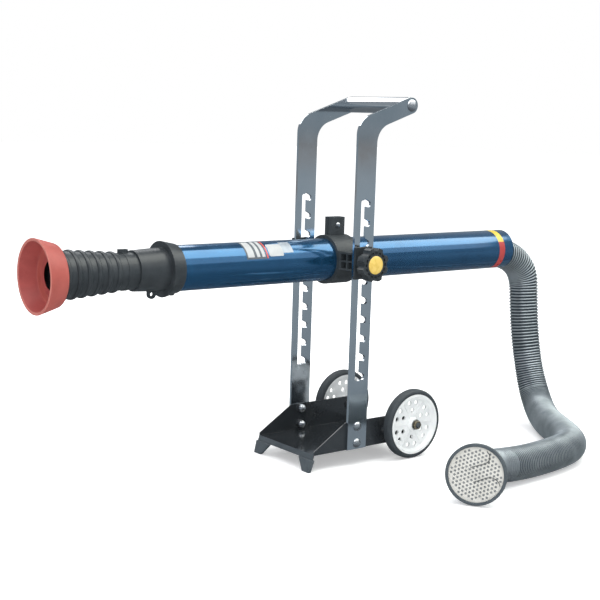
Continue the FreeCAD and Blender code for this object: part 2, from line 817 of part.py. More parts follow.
def make_tube():
    """The fan tube, with a hole for the cable gland on its right side."""
    tube = round_x("fan_tube", [
        ("tube_front_x", "tube_dia - 2 * tube_wall"),
        ("outlet_x", "tube_dia - 2 * tube_wall"),
        ("outlet_x", "tube_dia"),
        ("tube_front_x", "tube_dia"),
    ])
    hole = circle(sketch(tube, "gland_hole", "XZ_Plane"), "gland_stem_dia", "fan_x")
    pocket(tube, "gland_cut", hole, "tube_dia")
    node("fan_tube", tube)
    root = f"tube_dia / 2 - tube_wall - {PAST}"
    reach = "tube_dia / 2 + gland_reach"
    line = {"x": "fan_x", "z": "tube_z", "along": "+y"}
    head = cylinder("gland_head", "gland_dia", f"{reach} - ({root})", y=root, **line)
    inside = cylinder("gland_saddle", "tube_dia", "2 * gland_dia", "fan_x - gland_dia", "0", "tube_z", "+x")
    stem = cylinder("gland_stem", "gland_stem_dia", f"{reach} - ({root})", y=root, **line)
    bore = cylinder("gland_bore_cut", "gland_bore", f"{reach} - ({root})", y=root, **line)
    throat = cylinder("gland_throat_cut", "gland_stem_bore", f"{reach} - gland_grip - ({root})", y=root,
                      **line)
    blank = fused("gland_blank", [cut("gland_seated", head, [inside]), stem])
    node("cable_gland", cut("cable_gland", blank, [bore, throat]))


def make_inlet():
    """The collar on the tube's front with its eyelet, the rubber sleeve's clip and the nozzle cone."""
    nipple = "sleeve_rear_dia - 2 * sleeve_wall"
    collar = round_x("collar_turned", [
        ("flange_rear_x", "tube_dia"),
        ("flange_rear_x", "flange_rear_dia"),
        ("flange_front_x", "flange_front_dia"),
        ("flange_front_x", "spigot_root_dia"),
        ("spigot_end_x", "spigot_end_dia"),
        ("spigot_end_x", nipple),
        ("spigot_end_x - nipple_length", nipple),
        ("spigot_end_x - nipple_length", f"{nipple} - 2 * nipple_wall"),
        ("tube_front_x", f"{nipple} - 2 * nipple_wall"),
        ("tube_front_x", "tube_dia"),
    ])
    eye_x = "flange_front_x - eyelet_setback"
    y = "-eyelet_thickness / 2"
    eye = cylinder("eyelet_disc", "eyelet_dia", "eyelet_thickness", eye_x, y, "tube_z - eyelet_drop", "+y")
    neck = box("eyelet_neck", "eyelet_dia", "eyelet_thickness",
               "eyelet_drop - spigot_end_dia / 2 + nipple_wall",
               eye_x, "0", "tube_z - eyelet_drop")
    tab = box("flange_tab_block", "flange_tab", "flange_tab", "flange_tab",
              "flange_rear_x - flange_tab / 2", "0", "tube_z - flange_rear_dia / 2 - flange_tab / 2")
    hole = cylinder("eyelet_hole_cut", "eyelet_hole", "eyelet_thickness", eye_x, y, "tube_z - eyelet_drop",
                    "+y")
    seat = cylinder("collar_seat", "tube_dia", "collar_lap", "tube_front_x", "0", "tube_z", "+x")
    node("inlet_collar", cut("inlet_collar", fused("collar_blank", [collar, tab]), [seat]))
    node("collar_eyelet", cut("collar_eyelet", fused("eyelet_blank", [eye, neck]), [hole, collar]))
    clip_x = "spigot_end_x - clip_setback"
    band_dia = "sleeve_rear_dia + 2 * clip_thickness"
    band = cylinder("clip_band", band_dia, "clip_width", f"{clip_x} - clip_width / 2", "0", "tube_z", "+x")
    screw = box("clip_screw", "clip_screw_length", "clip_screw_width", "clip_screw_height + clip_thickness",
                clip_x, "0", "tube_z + sleeve_rear_dia / 2 - clip_thickness")
    inside = cylinder("clip_inside", "sleeve_rear_dia", "2 * clip_screw_length",
                      f"{clip_x} - clip_screw_length",
                      "0", "tube_z", "+x")
    node("sleeve_clip", cut("sleeve_clip", fused("clip_blank", [band, screw]), [inside]))
    node("nozzle_cone", round_x("nozzle_cone", [
        ("cone_rear_x", "sleeve_front_dia"),
        ("cone_rear_x", "cone_rear_dia"),
        ("mouth_x", "cone_mouth_dia"),
        ("mouth_x", "cone_mouth_dia - 2 * cone_wall"),
        ("cone_floor_x", "cone_rear_dia - 2 * cone_wall"),
        ("cone_floor_x", "cone_throat_dia"),
        ("sleeve_front_x", "cone_throat_dia"),
        ("sleeve_front_x", "sleeve_front_dia"),
    ]))


def make_clamp():
    """The one-piece clamp that grips the tube, with a pinch lug on top and a wing to each upright."""
    wing = new_body("clamp_wing")
    face = "bar_inner_y - side_play"
    half = "ring_width / 2"
    plan = outline(sketch(wing, "wing_plan", "XY_Plane"), [
        (f"ring_x - {half}", "wing_root"),
        (f"ring_x - {half}", "-wing_root"),
        (f"ring_x - {half} + wing_front_inset", f"-({face})"),
        (f"ring_x + {half} - wing_rear_inset", f"-({face})"),
        (f"ring_x + {half}", "-wing_root"),
        (f"ring_x + {half}", "wing_root"),
        (f"ring_x + {half} - wing_rear_inset", face),
        (f"ring_x - {half} + wing_front_inset", face),
    ])
    pad(wing, "wing_block", plan, "wing_height", symmetric=True)
    place(wing, z="stud_z")
    start = f"ring_x - {half}"
    ring = cylinder("clamp_ring", "tube_dia + 2 * ring_wall", "ring_width", start, "0", "tube_z", "+x")
    lug = box("clamp_lug", "lug_width", "lug_thickness", "lug_reach", "ring_x", "0", "tube_z")
    bore = cylinder("clamp_bore", "tube_dia", "ring_width", start, "0", "tube_z", "+x")
    slit = box("clamp_slit", "ring_width", "lug_slit", "lug_reach", "ring_x", "0", "tube_z")
    bolt_z = "tube_z + lug_bolt_rise"
    side = "lug_thickness / 2"
    bolt_hole = cylinder("lug_bolt_hole", "lug_bolt_dia + 2 * hole_play", "lug_thickness", "ring_x",
                         f"-({side})",
                         bolt_z, "+y")
    tools = [bore, slit, bolt_hole]
    pitch = "(pocket_side + pocket_gap) / 2"
    for name, sign in SIDES:
        tools.append(cylinder(f"{name}_stud_seat", "stud_dia", "stud_seat", "stud_x", f"{sign} * ({face})",
                              "stud_z", INWARD[sign]))
        middle = f"{sign} * (wing_root + {face}) / 2"
        for column, across in (("inner", "-"), ("outer", "+")):
            for row, up in (("low", "-"), ("high", "+")):
                tools.append(box(f"{name}_{column}_{row}_pocket", "2 * (wing_front_inset + pocket_depth)",
                                 "pocket_side", "pocket_side", f"ring_x - {half}", f"{middle} {across} {pitch}",
                                 f"stud_z {up} {pitch} - pocket_side / 2"))
    node("tube_clamp", cut("tube_clamp", fused("clamp_blank", [wing, ring, lug]), tools))
    head = dome("lug_bolt_dome", "lug_bolt_head", "lug_bolt_head_height", "ring_x", f"-({side})", bolt_z,
                "-y")
    shank = cylinder("lug_bolt_shank", "lug_bolt_dia", "lug_thickness + lug_nut_height", "ring_x",
                     f"-({side})",
                     bolt_z, "+y")
    node("clamp_bolt", fused("clamp_bolt", [head, shank]))
    nut = hexagon("lug_nut_hex", "lug_bolt_head", "lug_nut_height", "ring_x", side, bolt_z, "+y")
    thread = cylinder("lug_nut_thread", "lug_bolt_dia", "lug_nut_height", "ring_x", side, bolt_z, "+y")
    node("clamp_nut", cut("clamp_nut", nut, [thread]))


def make_slot_pieces(side, sign):
    """One side's stud, plain under the knob and headed on the far side, with its bush and plate."""
    line = {"x": "stud_x", "z": "stud_z", "along": OUTWARD[sign]}
    root = "bar_inner_y - side_play - stud_seat"
    if (side, sign) == KNOB_SIDE:
        node(f"{side}_stud", cylinder(f"{side}_stud", "stud_dia", f"stud_end_y - ({root})",
                                      y=f"{sign} * ({root})", **line))
    else:
        rod = cylinder(f"{side}_stud_rod", "stud_dia", f"neck_y + stud_flange_height - ({root})",
                       y=f"{sign} * ({root})", **line)
        flange = cylinder(f"{side}_stud_flange", "stud_flange_dia", "stud_flange_height",
                          y=f"{sign} * neck_y", **line)
        head = dome(f"{side}_stud_head", "stud_head_dia", "stud_head_height",
                    y=f"{sign} * (neck_y + stud_flange_height)", **line)
        node(f"{side}_stud", fused(f"{side}_stud", [rod, flange, head]))
    loose = "stud_dia + 2 * spin_play"
    start = f"{sign} * (bar_inner_y + side_play)"
    length = "bar_thickness - 2 * side_play"
    ring = cylinder(f"{side}_bush_disc", "slot_width - 2 * bush_play", length, y=start, **line)
    bore = cylinder(f"{side}_bush_bore", loose, length, y=start, **line)
    node(f"{side}_slot_bush", cut(f"{side}_slot_bush", ring, [bore]))
    middle = f"{sign} * (bar_outer_y + plate_outer_y) / 2"
    plate = box(f"{side}_plate_blank", "plate_width", "plate_thickness", "plate_height", "stud_x", middle,
                "stud_z - plate_height / 2")
    hole = cylinder(f"{side}_plate_bore", loose, "plate_thickness", y=f"{sign} * bar_outer_y", **line)
    node(f"{side}_pressure_plate", cut(f"{side}_pressure_plate", plate, [hole]))


def make_knob(side, sign):
    """A lobed clamping knob with a slotted face, and the coloured cap in its middle."""
    name = f"{side}_knob"
    body = new_body(name)
    front = sketch(body, name + "_outline", "XY_Plane", "neck_length")
    circle(front, "knob_dia")
    pad(body, name + "_head", front, "knob_length")
    lobe = sketch(body, name + "_scallop", "XY_Plane", "neck_length")
    circle(lobe, "knob_scallop_dia", "knob_dia / 2 + knob_scallop_dia / 5")
    scallop = pocket(body, name + "_scallop_cut", lobe, "knob_length", reverse=True)
    polar(body, name + "_lobes", [scallop], (lobe, ["N_Axis"]), "knob_lobes")
    neck = circle(sketch(body, name + "_neck_outline", "XY_Plane"), "neck_dia")
    pad(body, name + "_neck", neck, "neck_length")
    face = "neck_length + knob_length"
    window = sketch(body, name + "_window", "XY_Plane", face)
    rectangle(window, "knob_slot_radius - knob_slot_width / 2", "knob_slot_radius + knob_slot_width / 2",
              "-knob_slot_length / 2", "knob_slot_length / 2")
    opened = pocket(body, name + "_window_cut", window, "knob_slot_depth")
    polar(body, name + "_windows", [opened], (window, ["N_Axis"]), "knob_face_slots")
    seat = circle(sketch(body, name + "_cap_seat", "XY_Plane", face), "cap_dia")
    pocket(body, name + "_cap_recess", seat, "cap_seat")
    bore = circle(sketch(body, name + "_thread", "XY_Plane"), "stud_dia + 2 * spin_play")
    pocket(body, name + "_thread_cut", bore, "stud_thread + side_play", reverse=True)
    place(body, "stud_x", f"{sign} * neck_y", "stud_z", TURN[OUTWARD[sign]])
    node(name, body)
    seat_y = f"{sign} * (knob_face_y - cap_seat)"
    base = cylinder(f"{name}_cap_base", "cap_dia", "cap_seat", "stud_x", seat_y, "stud_z", OUTWARD[sign])
    crown = dome(f"{name}_cap_crown", "cap_dia", "cap_crown", "stud_x", f"{sign} * knob_face_y", "stud_z",
                 OUTWARD[sign])
    node(f"{name}_cap", fused(f"{name}_cap", [base, crown]))


def make_spider(name, middle):
    """A ring in the tube whose four arms carry the motor's body."""
    start = f"{middle} - spider_width / 2"
    line = {"y": "0", "z": "tube_z", "along": "+x"}
    bore = "tube_dia - 2 * tube_wall"
    outer = cylinder(name + "_outer", bore, "spider_width", start, **line)
    inner = cylinder(name + "_inner", f"{bore} - 2 * spider_rim", "spider_width", start, **line)
    rim = cut(name + "_rim", outer, [inner])
    hub = cylinder(name + "_hub", "motor_dia + 2 * spider_hub_wall", "spider_width", start, **line)
    span = f"{bore} - spider_rim"
    upright = box(name + "_upright_arms", "spider_width", "spider_arm", span, middle, "0",
                  f"tube_z - ({span}) / 2")
    level = box(name + "_level_arms", "spider_width", span, "spider_arm", middle, "0",
                "tube_z - spider_arm / 2")
    seat = cylinder(name + "_seat", "motor_dia", "spider_width", start, **line)
    node(name, cut(name, fused(name + "_blank", [rim, hub, upright, level]), [seat]))


def make_motor():
    """The sealed motor: housing, rear cover, stator, bearings, and the shaft with its rotor."""
    cavity = "motor_dia - 2 * motor_wall"
    shaft_hole = "motor_shaft_dia + 2 * side_play"
    node("motor_housing", round_x("motor_housing", [
        ("motor_front_x", shaft_hole),
        ("motor_front_x", "motor_dia"),
        ("motor_rear_x - motor_end_wall", "motor_dia"),
        ("motor_rear_x - motor_end_wall", cavity),
        ("motor_front_x + motor_end_wall", cavity),
        ("motor_front_x + motor_end_wall", "bearing_dia"),
        ("motor_front_x + motor_end_wall - bearing_width", "bearing_dia"),
        ("motor_front_x + motor_end_wall - bearing_width", shaft_hole),
    ]))
    cover_face = "motor_rear_x - motor_end_wall"
    node("motor_cover", round_x("motor_cover", [
        (cover_face, "bearing_dia"),
        (cover_face, "motor_dia"),
        ("motor_rear_x", "motor_dia"),
        ("motor_rear_x", shaft_hole),
        (f"{cover_face} + bearing_width", shaft_hole),
        (f"{cover_face} + bearing_width", "bearing_dia"),
    ]))
    node("stator", round_x("stator", [
        ("fan_x - stator_length / 2", "stator_dia_inner"),
        ("fan_x + stator_length / 2", "stator_dia_inner"),
        ("fan_x + stator_length / 2", cavity),
        ("fan_x - stator_length / 2", cavity),
    ]))
    seats = {
        "front_bearing": "motor_front_x + motor_end_wall - bearing_width",
        "rear_bearing": cover_face,
    }
    for name, start in seats.items():
        bore = "motor_shaft_dia + 2 * spin_play"
        node(name, round_x(name, [
            (start, bore),
            (f"{start} + bearing_width", bore),
            (f"{start} + bearing_width", "bearing_dia"),
            (start, "bearing_dia"),
        ]))
    tail = f"{cover_face} + shaft_tail"
    node("fan_shaft", cylinder("fan_shaft", "motor_shaft_dia", f"{tail} - (motor_front_x - shaft_nose)",
                               "motor_front_x - shaft_nose", "0", "tube_z", "+x"))
    core = "stator_dia_inner - 2 * air_gap"
    node("rotor_core", round_x("rotor_core", [
        ("fan_x - stator_length / 2", "motor_shaft_dia"),
        ("fan_x + stator_length / 2", "motor_shaft_dia"),
        ("fan_x + stator_length / 2", core),
        ("fan_x - stator_length / 2", core),
    ]))
    make_spider("front_spider", "motor_front_x + spider_end_gap")
    make_spider("rear_spider", "motor_rear_x - spider_end_gap")


def make_impeller():
    """An axial impeller: pitched flat blades on a hub, held on the shaft by a nut."""
    length = "impeller_hub_length"
    hub = cylinder("impeller_hub", "impeller_hub_dia", length, "impeller_front_x", "0", "tube_z", "+x")
    reach = "tube_dia / 2 - tube_wall - blade_tip_gap"
    root = "impeller_hub_dia / 4"
    middle = "impeller_front_x + impeller_hub_length / 2"
    blade = doc.addObject("Part::Box", "impeller_blade")
    bind(blade, {"Length": "blade_chord", "Width": "blade_thickness", "Height": f"{reach} - {root}"})
    pitch = value("blade_pitch")
    blade.Placement = Placement(Vector(), Rotation(Vector(0, 0, 1), pitch))
    shift_x = f"-blade_chord / 2 * cos({pitch}) + blade_thickness / 2 * sin({pitch})"
    shift_y = f"-blade_chord / 2 * sin({pitch}) - blade_thickness / 2 * cos({pitch})"
    bind(blade, {"Placement.Base.x": shift_x, "Placement.Base.y": shift_y, "Placement.Base.z": root})
    blades = []
    count = int(value("impeller_blades"))
    for i in range(count):
        copy = doc.addObject("Part::Compound", f"impeller_blade_{i}")
        copy.Links = [blade]
        place(copy, middle, "0", "tube_z", Rotation(Vector(1, 0, 0), 360 * i / count))
        blades.append(copy)
    swept = cylinder("impeller_reach", f"2 * ({reach})", "2 * blade_chord", f"{middle} - blade_chord", "0",
                     "tube_z", "+x")
    bore = cylinder("impeller_bore", "motor_shaft_dia", length, "impeller_front_x", "0", "tube_z", "+x")
    whole = fused("impeller_blank", [hub, *blades])
    node("impeller", cut("impeller", common("impeller_trimmed", [whole, swept]), [bore]))
    start = "impeller_front_x - impeller_nut_height"
    nut = hexagon("impeller_nut_hex", "impeller_nut_dia", "impeller_nut_height", start, "0", "tube_z", "+x")
    thread = cylinder("impeller_nut_thread", "motor_shaft_dia", "impeller_nut_height", start, "0", "tube_z",
                      "+x")
    node("impeller_nut", cut("impeller_nut", nut, [thread]))


class Path:
    """Straight runs joined by tangent arcs through the corners of a route."""

    def __init__(self, corners):
        points = [Vector(*corner) for corner in corners]
        self.pieces = []
        self.radii = []
        start = points[0]
        for before, corner, after in zip(points, points[1:], points[2:]):
            into = (corner - before).normalize()
            out = (after - corner).normalize()
            turn = into.getAngle(out)
            setback = ARC_SHARE * min((corner - before).Length, (after - corner).Length)
            radius = setback / math.tan(turn / 2)
            begin = corner - into * setback
            self.add_run(start, begin)
            centre = begin + (out - into * into.dot(out)).normalize() * radius
            self.pieces.append(("arc", radius * turn, begin, into, centre, radius))
            self.radii.append(radius)
            start = corner + out * setback
        self.add_run(start, points[-1])
        self.length = sum(piece[1] for piece in self.pieces)

    def add_run(self, start, end):
        self.pieces.append(("run", (end - start).Length, start, (end - start).normalize()))

    def at(self, distance):
        """The point and the direction at a distance along the path."""
        for piece in self.pieces:
            if distance <= piece[1] or piece is self.pieces[-1]:
                break
            distance -= piece[1]
        start, heading = piece[2], piece[3]
        if piece[0] == "run":
            return start + heading * distance, heading
        centre, radius = piece[4], piece[5]
        angle = distance / radius
        spoke = (start - centre).normalize()
        point = centre + spoke * radius * math.cos(angle) + heading * radius * math.sin(angle)
        return point, heading * math.cos(angle) - spoke * math.sin(angle)


def rings(path, stations):
    """Circles square to the path at distances and radii, whose X axes turn as little as they can."""
    wires = []
    across = None
    for distance, radius in stations:
        point, heading = path.at(distance)
        if across is None:
            across = Vector(0, 1, 0)
        across = (across - heading * across.dot(heading)).normalize()
        ring = Part.Circle(point, heading, radius)
        ring.XAxis = across
        wires.append(Part.Wire([ring.toShape()]))
    return wires


def tube_wall_solid(outer, inner):
    """A closed wall between two rows of circles that start and end in the same planes."""
    faces = Part.makeLoft(outer, False, True).Faces
    faces += [face.reversed() for face in Part.makeLoft(inner, False, True).Faces]
    for end in (0, -1):
        faces.append(Part.makeFace([outer[end], inner[end]], "Part::FaceMakerBullseye"))
    shell = Part.makeShell(faces)
    shell.sewShape()
    return Part.makeSolid(shell)


def shape_node(name, shape):
    made = doc.addObject("Part::Feature", name)
    made.Shape = shape
    return node(name, made)


def rib_stations(start, length, count, valley, crest, width, flank=None):
    """Four stations for each rib: up to the crest, along it, down, and along the valley."""
    pitch = length / count
    flank = flank or (pitch - width) / 3
    edge = (pitch - width) / 2 - flank
    rows = []
    for i in range(count):
        begin = start + i * pitch
        share = (i + 0.5) / count
        low, high = valley(share), crest(share)
        rows += [
            (begin + edge, low),
            (begin + edge + flank, high),
            (begin + edge + flank + width, high),
            (begin + edge + 2 * flank + width, low),
        ]
    return rows


def make_sleeve():
    """The flared rubber sleeve, ribbed between a plain cuff on the nipple and one in the cone."""
    z = value("tube_z")
    path = Path([(value("spigot_end_x"), 0, z), (value("sleeve_front_x"), 0, z)])
    rear = value("sleeve_rear_dia / 2")
    front = value("sleeve_front_dia / 2")
    wall = value("sleeve_wall")
    height = value("sleeve_rib_height")
    begin = value("clip_setback + clip_width + sleeve_plain")
    end = path.length - value("sleeve_lip")

    def valley(share):
        return rear + share * (front - rear)

    ribs = rib_stations(begin, end - begin, int(value("sleeve_ribs")), valley,
                        lambda share: valley(share) + height, value("sleeve_rib_width"),
                        value("sleeve_rib_flank"))
    outer = rings(path, [(0, rear), (begin, rear), *ribs, (end, front), (path.length, front)])
    inner = rings(path, [(0, rear - wall), (begin, rear - wall), (end, front - wall),
                         (path.length, front - wall)])
    shape_node("inlet_sleeve", tube_wall_solid(outer, inner))


def make_hose():
    """The ribbed outlet hose: its elbow out of the tube, and the length that hangs and lies."""
    line = {"y": "0", "z": "tube_z", "along": "+x"}
    start = "outlet_x - outlet_ring_length"
    ring = cylinder("outlet_ring_disc", "tube_dia - 2 * tube_wall", "outlet_ring_length", start, **line)
    hole = cylinder("outlet_ring_bore", "hose_dia", "outlet_ring_length", start, **line)
    node("outlet_ring", cut("outlet_ring", ring, [hole]))
    path = Path(HOSE_ROUTE)
    crest = value("hose_dia / 2")
    valley = crest - value("hose_rib_height")
    bore = valley - value("hose_wall")
    width = value("hose_rib_width")
    stretches = {
        "hose_elbow": (0, value("hose_split")),
        "outlet_hose": (value("hose_split"), path.length),
    }
    print("hose: length", round(path.length, 1), "bend radii", [round(radius) for radius in path.radii])
    for name, (begin, end) in stretches.items():
        length = end - begin
        count = round(length / value("hose_rib_pitch"))
        ribs = rib_stations(begin, length, count, lambda share: valley, lambda share: crest, width)
        outer = rings(path, [(begin, valley), *ribs, (end, valley)])
        inner = rings(path, [(distance, bore) for distance, radius in [(begin, valley), *ribs,
                                                                       (end, valley)]])
        made = shape_node(name, tube_wall_solid(outer, inner))
        flank = (length / count - width) / 3
        slope = (valley ** 2 + valley * crest + crest ** 2) / 3
        ribbed = (flank * valley ** 2 + width * crest ** 2 + 2 * flank * slope) / (length / count)
        section = math.pi * (ribbed - bore ** 2)
        share = made.Shape.Volume / (section * length)
        print(name, "ribs", count, "volume over section x length", round(share, 4))


def make_end_cap():
    """The smooth cuff on the hose's end, the round rim that stands on the floor, and its grille."""
    end = Vector(*HOSE_ROUTE[-1])
    heading = (end - Vector(*HOSE_ROUTE[-2])).normalize()
    turn = Rotation(Vector(1, 0, 0), heading)
    hose_bore = "hose_dia - 2 * hose_rib_height - 2 * hose_wall"
    shapes = {
        "hose_cuff": [
            ("0", hose_bore),
            ("0", "hose_dia"),
            ("cuff_length - cuff_step", "hose_dia"),
            ("cuff_length", "cap_rim_dia - 2 * cap_rim_wall"),
            ("cuff_length", "cap_rim_dia - 2 * cap_rim_wall - 2 * hose_rib_height"),
            ("cuff_length - cuff_step", hose_bore),
        ],
        "cap_rim": [
            ("cuff_length", "cap_rim_dia - 2 * cap_rim_wall - 2 * hose_rib_height"),
            ("cuff_length", "cap_rim_dia"),
            ("cuff_length + cap_rim_depth", "cap_rim_dia"),
            ("cuff_length + cap_rim_depth", "cap_rim_dia - 2 * cap_rim_wall"),
            ("grille_seat", "cap_rim_dia - 2 * cap_rim_wall"),
            ("grille_seat", "cap_rim_dia - 2 * cap_rim_wall - 2 * hose_rib_height"),
        ],
    }
    for name, profile in shapes.items():
        radii = [(x, f"({dia}) / 2") for x, dia in profile]
        node(name, revolved(name, radii, "H_Axis", *(str(part) for part in end), turn))
    rim = value("cap_rim_dia / 2 - cap_rim_wall")
    hole = value("grille_hole") / 2
    pitch = value("grille_pitch")
    thickness = value("grille_thickness")
    seat = value("grille_seat")
    axis = Vector(1, 0, 0)
    wires = [Part.Wire([Part.Circle(Vector(seat, 0, 0), axis, rim).toShape()])]
    rows = int(rim / (pitch * math.sin(math.radians(60)))) + 1
    for row in range(-rows, rows + 1):
        up = row * pitch * math.sin(math.radians(60))
        shift = pitch / 2 if row % 2 else 0
        for column in range(-rows - 1, rows + 2):
            across = column * pitch + shift
            if math.hypot(across, up) + hole < rim - pitch / 3:
                wires.append(Part.Wire([Part.Circle(Vector(seat, across, up), axis, hole).toShape()]))
    plate = Part.makeFace(wires, "Part::FaceMakerBullseye").extrude(axis * thickness)
    grille = shape_node("cap_grille", plate)
    grille.Placement = Placement(end, turn)


tray = make_tray()
for side, sign in SIDES:
    make_foot_cap(side, sign, tray)
    make_upright(side, sign)
    make_wheel(side, sign)
    make_slot_pieces(side, sign)
make_knob(*KNOB_SIDE)
make_handle()
make_frame_bolts()
make_axle()
make_tube()
make_inlet()
make_sleeve()
make_clamp()
make_motor()
make_impeller()
make_hose()
make_end_cap()
doc.recompute()

faults = [f"{obj.Label}: {obj.State}" for obj in doc.Objects if {"Invalid", "Error"} & set(obj.State)]
for name, obj in nodes.items():
    if obj.Shape.isNull() or not obj.Shape.isValid():
        faults.append(f"{name}: no valid shape")
if faults:
    raise RuntimeError("; ".join(faults))

os.makedirs("parts", exist_ok=True)
for name, obj in nodes.items():
    obj.Shape.exportStep(f"parts/{name}.step")
    box_size = obj.Shape.BoundBox
    print(f"{name}: {len(obj.Shape.Solids)} solids, {box_size.XLength:.1f} x {box_size.YLength:.1f} x"
          f" {box_size.ZLength:.1f} mm")
print(len(nodes), "nodes")
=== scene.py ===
"""Looks of a workshop fume extractor: a fan tube on a two-wheeled trolley, with a ribbed outlet hose."""

import json
import math

import bmesh
import bpy
from mathutils import Matrix, Vector


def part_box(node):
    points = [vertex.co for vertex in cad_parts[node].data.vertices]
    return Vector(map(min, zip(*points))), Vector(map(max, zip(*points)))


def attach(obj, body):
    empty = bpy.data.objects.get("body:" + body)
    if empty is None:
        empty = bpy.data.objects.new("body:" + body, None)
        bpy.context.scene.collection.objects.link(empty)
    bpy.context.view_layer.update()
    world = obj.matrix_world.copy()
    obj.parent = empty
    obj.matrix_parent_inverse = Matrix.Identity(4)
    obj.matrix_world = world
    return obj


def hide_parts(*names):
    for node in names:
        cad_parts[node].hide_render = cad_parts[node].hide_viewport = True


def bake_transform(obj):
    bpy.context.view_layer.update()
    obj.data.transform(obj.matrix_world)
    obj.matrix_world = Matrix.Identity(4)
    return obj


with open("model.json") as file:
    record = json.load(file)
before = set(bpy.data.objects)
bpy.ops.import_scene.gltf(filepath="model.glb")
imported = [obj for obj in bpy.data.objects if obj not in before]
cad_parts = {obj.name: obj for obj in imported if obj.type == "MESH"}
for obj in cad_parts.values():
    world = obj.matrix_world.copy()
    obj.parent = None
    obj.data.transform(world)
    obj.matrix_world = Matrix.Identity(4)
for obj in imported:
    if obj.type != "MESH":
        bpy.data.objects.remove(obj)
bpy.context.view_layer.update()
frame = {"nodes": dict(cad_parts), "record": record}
scene = bpy.context.scene
record = frame["record"]
BODY_OF = {node: body for body, nodes in record["behaviour"]["bodies"].items() for node in nodes}
SIDES = ("left", "right")

# The tube's axis runs along X at this height; the outlet is its +X end.
TUBE_LOW, TUBE_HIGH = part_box("fan_tube")
AXIS_Z = (TUBE_LOW.z + TUBE_HIGH.z) / 2
TUBE_RADIUS = (TUBE_HIGH.z - TUBE_LOW.z) / 2
TUBE_WALL = 0.002
TUBE_AXIS = Vector((0, 0, AXIS_Z))

# The photograph's camera: where it stands and which way its picture lies.
CAMERA_PLACE = Vector((-2.0743, -2.6338, 0.9604))
CAMERA_RIGHT = Vector((0.7867, -0.6165, 0.0302))
CAMERA_FORWARD = Vector((0.6138, 0.7762, -0.1444))
CAMERA_LENS_MM = 73.16
CAMERA_SHIFT = (-0.003, -0.0076)
CAMERA_SENSOR_MM = 36
CAMERA_REACH = 100

# The hose's route, from the ring inside the tube to its end on the floor.
HOSE_ROUTE = [
    (0.668, 0, 0.5683),
    (0.913, 0, 0.5683),
    (0.913, -0.020, 0.318),
    (0.916, -0.052, 0.165),
    (0.905, -0.105, 0.070),
    (0.846, -0.190, 0.047),
    (0.790, -0.275, 0.047),
    (0.738, -0.362, 0.047),
    (0.672, -0.440, 0.047),
    (0.565, -0.468, 0.047),
    (0.455, -0.480, 0.047),
    (0.362, -0.484, 0.050),
    (0.255, -0.4848, 0.0589),
    (0.183, -0.537, 0.0715),
]
HOSE_END = Vector(HOSE_ROUTE[-1])
HOSE_HEADING = (HOSE_END - Vector(HOSE_ROUTE[-2])).normalized()
HOSE_DIAMETER = 0.094

# The elbow ends and the free hose begins at this height.
HOSE_SPLIT_Z = 0.431

# The hose is stretched where it hangs and bunched where it lies: pitch of its ribs and radius of their
# wire, and for each stretch from the top down the height at which it ends.
HANGING = (0.0095, 0.0022)
LYING = (0.0071, 0.0016)
STRETCHES = [
    (0.290, HANGING),
    (0.240, (0.0089, 0.00209)),
    (0.195, (0.0084, 0.00198)),
    (0.155, (0.0079, 0.00186)),
    (0.120, (0.0075, 0.00173)),
]

# The length at the hose's end that is painted paler.
PALE_END_LENGTH = 0.168

# How finely it is drawn: steps between two points of the route, sides of the wall and of a rib's wire,
# and the turn between two faces that stays a sharp edge.
ROUTE_STEPS = 24
HOSE_SIDES = 48
RIB_SIDES = 6
RIB_DEGREES = 50


# Materials

# Every finish drifts between two tones and two roughnesses over these spans of a cloudy noise.
CLOUD_DETAIL = 6.0
CLOUD_ROUGHNESS = 0.6
TONE_SPAN = (0.32, 0.68)
GLOSS_SPAN = (0.3, 0.7)

# The grain of mouldings and sprayed metal, and the gloss of a clear coat.
GRAIN_DETAIL = 3.0
GRAIN_SCALE = 900.0
GRAIN_DEPTH = 0.0005
COAT_ROUGHNESS = 0.06


def group_tree(name, inputs, outputs):
    """An empty shader node group with named sockets."""
    tree = bpy.data.node_groups.new(name, "ShaderNodeTree")
    for socket, kind, value in inputs:
        made = tree.interface.new_socket(socket, in_out="INPUT", socket_type=kind)
        made.default_value = value
    for socket, kind in outputs:
        tree.interface.new_socket(socket, in_out="OUTPUT", socket_type=kind)
    return tree, tree.nodes.new("NodeGroupInput"), tree.nodes.new("NodeGroupOutput")


